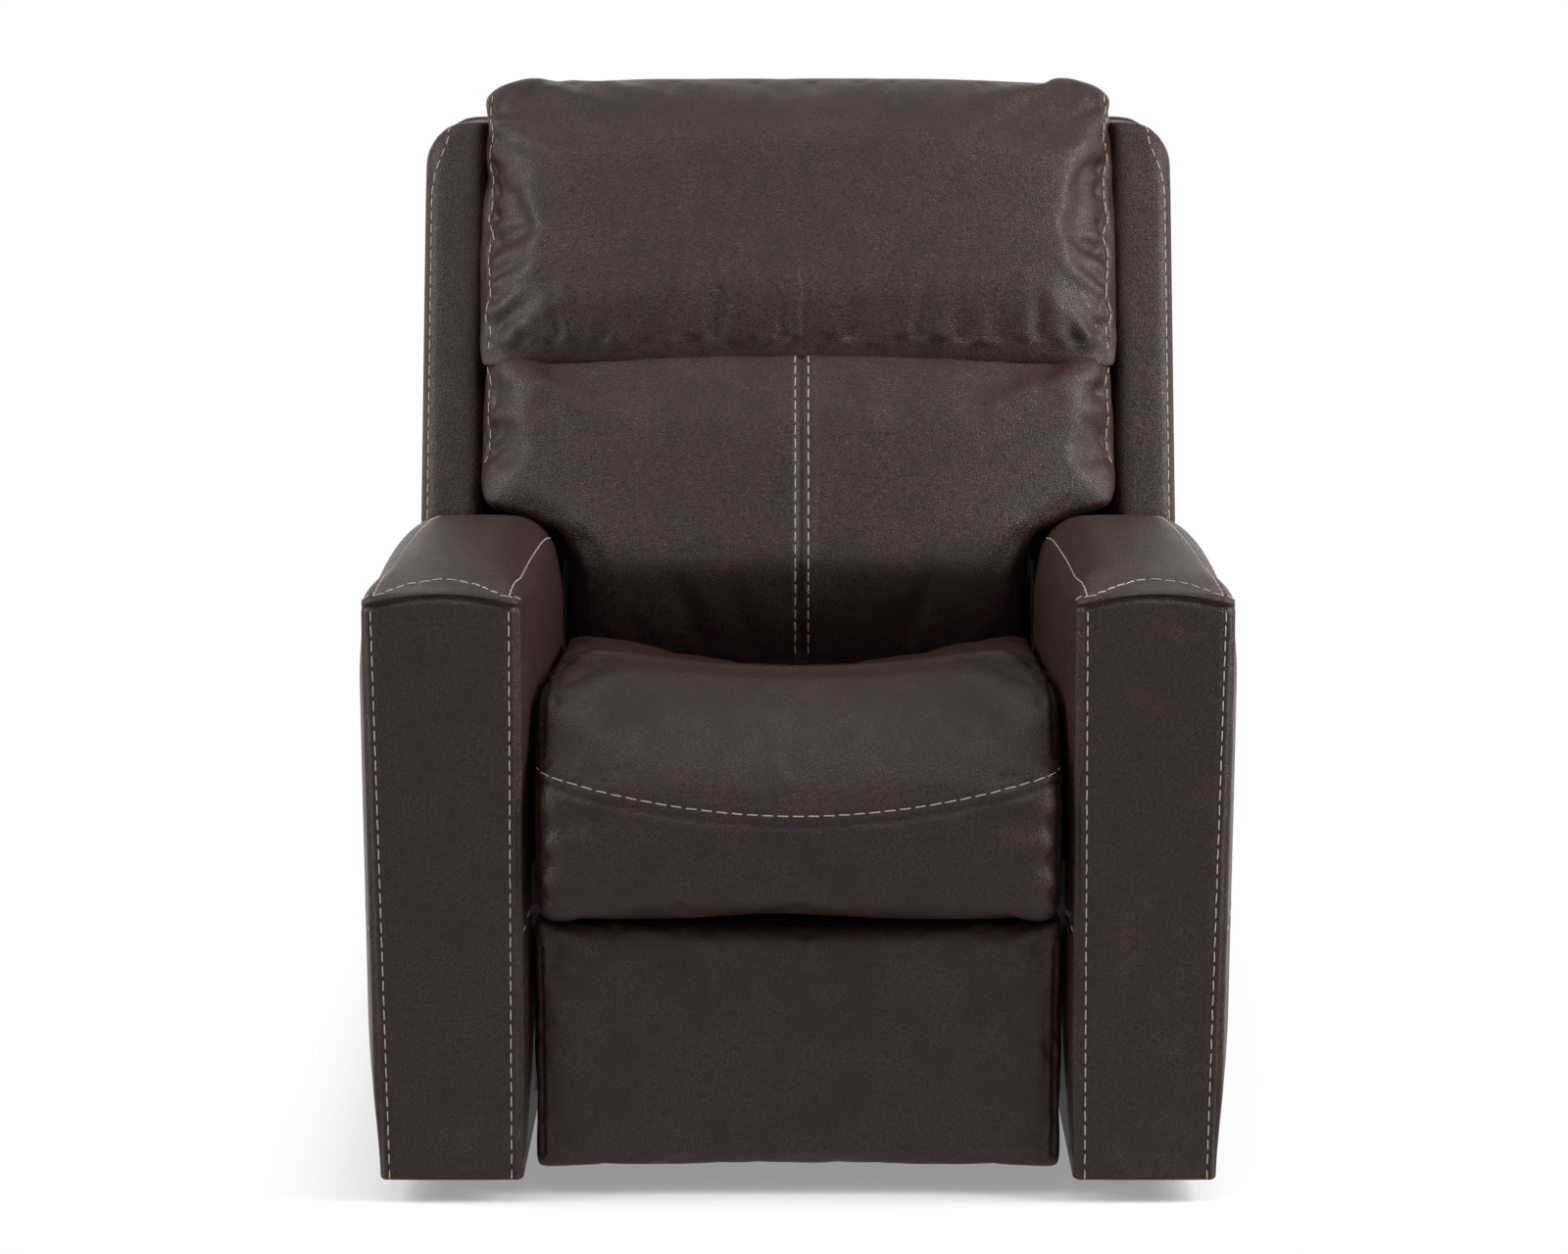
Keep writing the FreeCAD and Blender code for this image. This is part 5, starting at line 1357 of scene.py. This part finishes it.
# %% Deck cloth
TAPE = 0.0024


def make_deck():
    material, tree = new_material("woven_deck_cloth")
    place = add(tree, "ShaderNodeTexCoord").outputs["Object"]
    tapes = add(
        tree,
        "ShaderNodeTexChecker",
        {"Vector": place, "Scale": 1 / TAPE, "Color1": linear("#2c2c2d"), "Color2": linear("#1b1b1c")},
    )
    bump = add(tree, "ShaderNodeBump", {"Strength": 0.4, "Distance": 0.0004, "Height": tapes.outputs["Fac"]})
    shader = add(
        tree,
        "ShaderNodeBsdfPrincipled",
        {"Base Color": tapes.outputs["Color"], "Roughness": 0.8, "Normal": bump.outputs["Normal"]},
    )
    add(tree, "ShaderNodeOutputMaterial", {"Surface": shader.outputs[0]})
    return material


deck_cloth = make_deck()
print("deck tapes of", TAPE * 1000, "mm")

# %% [markdown]
# The record names a finish for each CAD piece, so the pieces are finished in one loop.
# Boards that a cover wraps on the real chair show leather, and the seat rails behind the lining show its cloth.
# The posts and rails of the back frame are wood, but show the dark deck cloth as painted shade in the gap between the
# lumbar pillow and the arms.
# They could be covered by more meshes, but nothing more would be seen.

# %% Finish the CAD pieces
finishes = {
    "leather": leather,
    "wood": pine,
    "black_plastic": black_plastic,
    "panel_plastic": panel_plastic,
    "bright_steel": spring_wire,
    "deck_fabric": deck_cloth,
    "black_steel": black_steel,
}
for part in frame["record"]["subparts"]:
    node = frame["nodes"][part["node"]]
    node.data.materials.clear()
    node.data.materials.append(finishes[part["material_slot"]])
for wrapped in ("wing_boards", "headrest_board", "footrest_board", "back_top_rail"):
    frame["nodes"][wrapped].data.materials[0] = leather
seat_rails = ("left_seat_rail", "right_seat_rail", "seat_front_rail")
# The back frame is wood; its dark deck cloth is painted shade for the gap beside the lumbar pillow.
shaded_back_frame = ("left_back_post", "right_back_post", "back_lower_rail", "back_middle_rail")
# The seat rails show the deck cloth that lines them, and the back frame shows it as painted shade.
for lined_and_shaded in seat_rails + shaded_back_frame:
    frame["nodes"][lined_and_shaded].data.materials[0] = deck_cloth

# %% [markdown]
# The picture is a studio shot on white: a large softbox at each side and a wide one above.
# Sun lamps would give hard shadows, and a softbox gives leather its long soft highlights.
# The right one is stronger, as the brighter right half of the pillows shows.

# %% Lamps
SIDE_SIZE, TOP_SIZE = (1.2, 1.8), (2.4, 2.0)
CHAIR_MIDDLE, SEAT_FRONT = (0, 0, 0.7), (0, 0, 0.4)


def softbox(name, place, aim, size, power):
    light = bpy.data.lights.new(name, "AREA")
    light.shape = "RECTANGLE"
    light.size, light.size_y = size
    light.energy = power
    lamp = bpy.data.objects.new(name, light)
    scene.collection.objects.link(lamp)
    lamp.location = place
    lamp.rotation_euler = (Vector(aim) - Vector(place)).to_track_quat("-Z", "Y").to_euler()


softbox("right_softbox", (2.5, -0.7, 1.7), CHAIR_MIDDLE, SIDE_SIZE, 118)
softbox("left_softbox", (-2.5, -0.7, 1.7), CHAIR_MIDDLE, SIDE_SIZE, 76)
softbox("top_softbox", (0, -0.9, 3.2), SEAT_FRONT, TOP_SIZE, 30)
print(len(bpy.data.lights), "softboxes")

# %% [markdown]
# The room is white to the camera and in reflections, but lights the chair only a little, so that the lamps shape it.
# The Light Path node tells which ray is asking, and a plain white world would wash the shadows out.

# %% White room
ROOM_LIGHT = 0.1
WHITE = linear("#ffffff")
PAPER = (0.9, 0.9, 0.9, 1)


def seen_white(tree):
    """1 for the rays that should meet white: camera, glass and reflection."""
    ray = add(tree, "ShaderNodeLightPath").outputs
    clear = {0: ray["Is Camera Ray"], 1: ray["Is Transmission Ray"]}
    direct = add(tree, "ShaderNodeMath", clear, operation="MAXIMUM")
    both = {0: direct.outputs[0], 1: ray["Is Glossy Ray"]}
    return add(tree, "ShaderNodeMath", both, operation="MAXIMUM").outputs[0]


world = bpy.data.worlds.new("white_studio")
scene.world = world
world.use_nodes = True
tree = world.node_tree
tree.nodes.clear()
soft = add(tree, "ShaderNodeBackground", {"Color": WHITE, "Strength": ROOM_LIGHT})
white = add(tree, "ShaderNodeBackground", {"Color": WHITE, "Strength": 1.0})
mixed = add(tree, "ShaderNodeMixShader", {0: seen_white(tree), 1: soft.outputs[0], 2: white.outputs[0]})
add(tree, "ShaderNodeOutputWorld", {"Surface": mixed.outputs[0]})
print("room light", ROOM_LIGHT)

# %% [markdown]
# The floor is a sheet of matt white studio paper. It catches the soft shadow close to the chair and fades to white,
# so that no horizon shows. A shadow catcher would need a composited picture, and here the fade is in the paper:
# past a rounded box round the chair's foot, its colour goes over to plain white.
# Close to the chair a share of that white glow lightens the shadow too, which is painted light.

# %% Floor
FLOOR_HALF = 9
# Half of the box in which the paper's shadow is deepest, the distance over which white glow takes the shadow away, and
# the share of white glow that lightens the shadow inside the box, which is painted light.
SHADOW_HALF = (0.43, 0.53, 1.0)
SHADOW_REACH = 0.14
# Painted light: this share of white glow lightens the floor's shadow even beside the chair.
SHADOW_GLOW = 0.3
floor_mesh = bpy.data.meshes.new("floor")
corners = ((-1, -1), (1, -1), (1, 1), (-1, 1))
floor_mesh.from_pydata([(x * FLOOR_HALF, y * FLOOR_HALF, 0) for x, y in corners], [], [(0, 1, 2, 3)])
floor = new_object("floor", floor_mesh)
floor_material, tree = new_material("pale_studio_floor")
place = add(tree, "ShaderNodeTexCoord").outputs["Object"]
side = add(tree, "ShaderNodeVectorMath", {0: place}, operation="ABSOLUTE")
past = add(tree, "ShaderNodeVectorMath", {0: side.outputs[0], 1: SHADOW_HALF}, operation="SUBTRACT")
outside = add(tree, "ShaderNodeVectorMath", {0: past.outputs[0], 1: (0, 0, 0)}, operation="MAXIMUM")
away = add(tree, "ShaderNodeVectorMath", {0: outside.outputs[0]}, operation="LENGTH")
# The fade mixes in white glow: a share inside the box, as painted light on the shadow, and all of it past the reach.
fade = add(
    tree,
    "ShaderNodeMapRange",
    {"Value": away.outputs["Value"], "From Max": SHADOW_REACH, "To Min": SHADOW_GLOW},
    interpolation_type="SMOOTHSTEP",
)
faded = {0: fade.outputs["Result"], 1: seen_white(tree)}
share = add(tree, "ShaderNodeMath", faded, operation="MULTIPLY")
paper = add(tree, "ShaderNodeBsdfPrincipled", {"Base Color": PAPER, "Roughness": 0.8})
glow = add(tree, "ShaderNodeEmission", {"Color": WHITE, "Strength": 1.0})
mixed = add(tree, "ShaderNodeMixShader", {0: share.outputs[0], 1: paper.outputs[0], 2: glow.outputs[0]})
add(tree, "ShaderNodeOutputMaterial", {"Surface": mixed.outputs[0]})
floor.data.materials.append(floor_material)
print("floor", 2 * FLOOR_HALF, "m wide")

# %% [markdown]
# The camera stands in front of the chair, a little above it and far away, as its nearly parallel edges show.
# Its place was solved from the photograph: a nearer camera with a shorter lens would spread the arms.

# %% Camera
CAMERA_PLACE, CAMERA_DOWN = (0, -4.7, 1.388), 10.6
LENS, SENSOR = 98.2, 36
# The chair stands 14.5 pixels to one side in a picture of 1600.
SIDE_SHIFT = -14.5 / 1600
camera_data = bpy.data.cameras.new("camera")
camera_data.lens = LENS
camera_data.sensor_width = SENSOR
camera_data.shift_x = SIDE_SHIFT
camera = bpy.data.objects.new("camera", camera_data)
scene.collection.objects.link(camera)
camera.location = CAMERA_PLACE
camera.rotation_euler = (math.radians(90 - CAMERA_DOWN), 0, 0)
scene.camera = camera
scene.view_settings.view_transform = "Standard"
print("camera with a lens of", LENS, "mm")
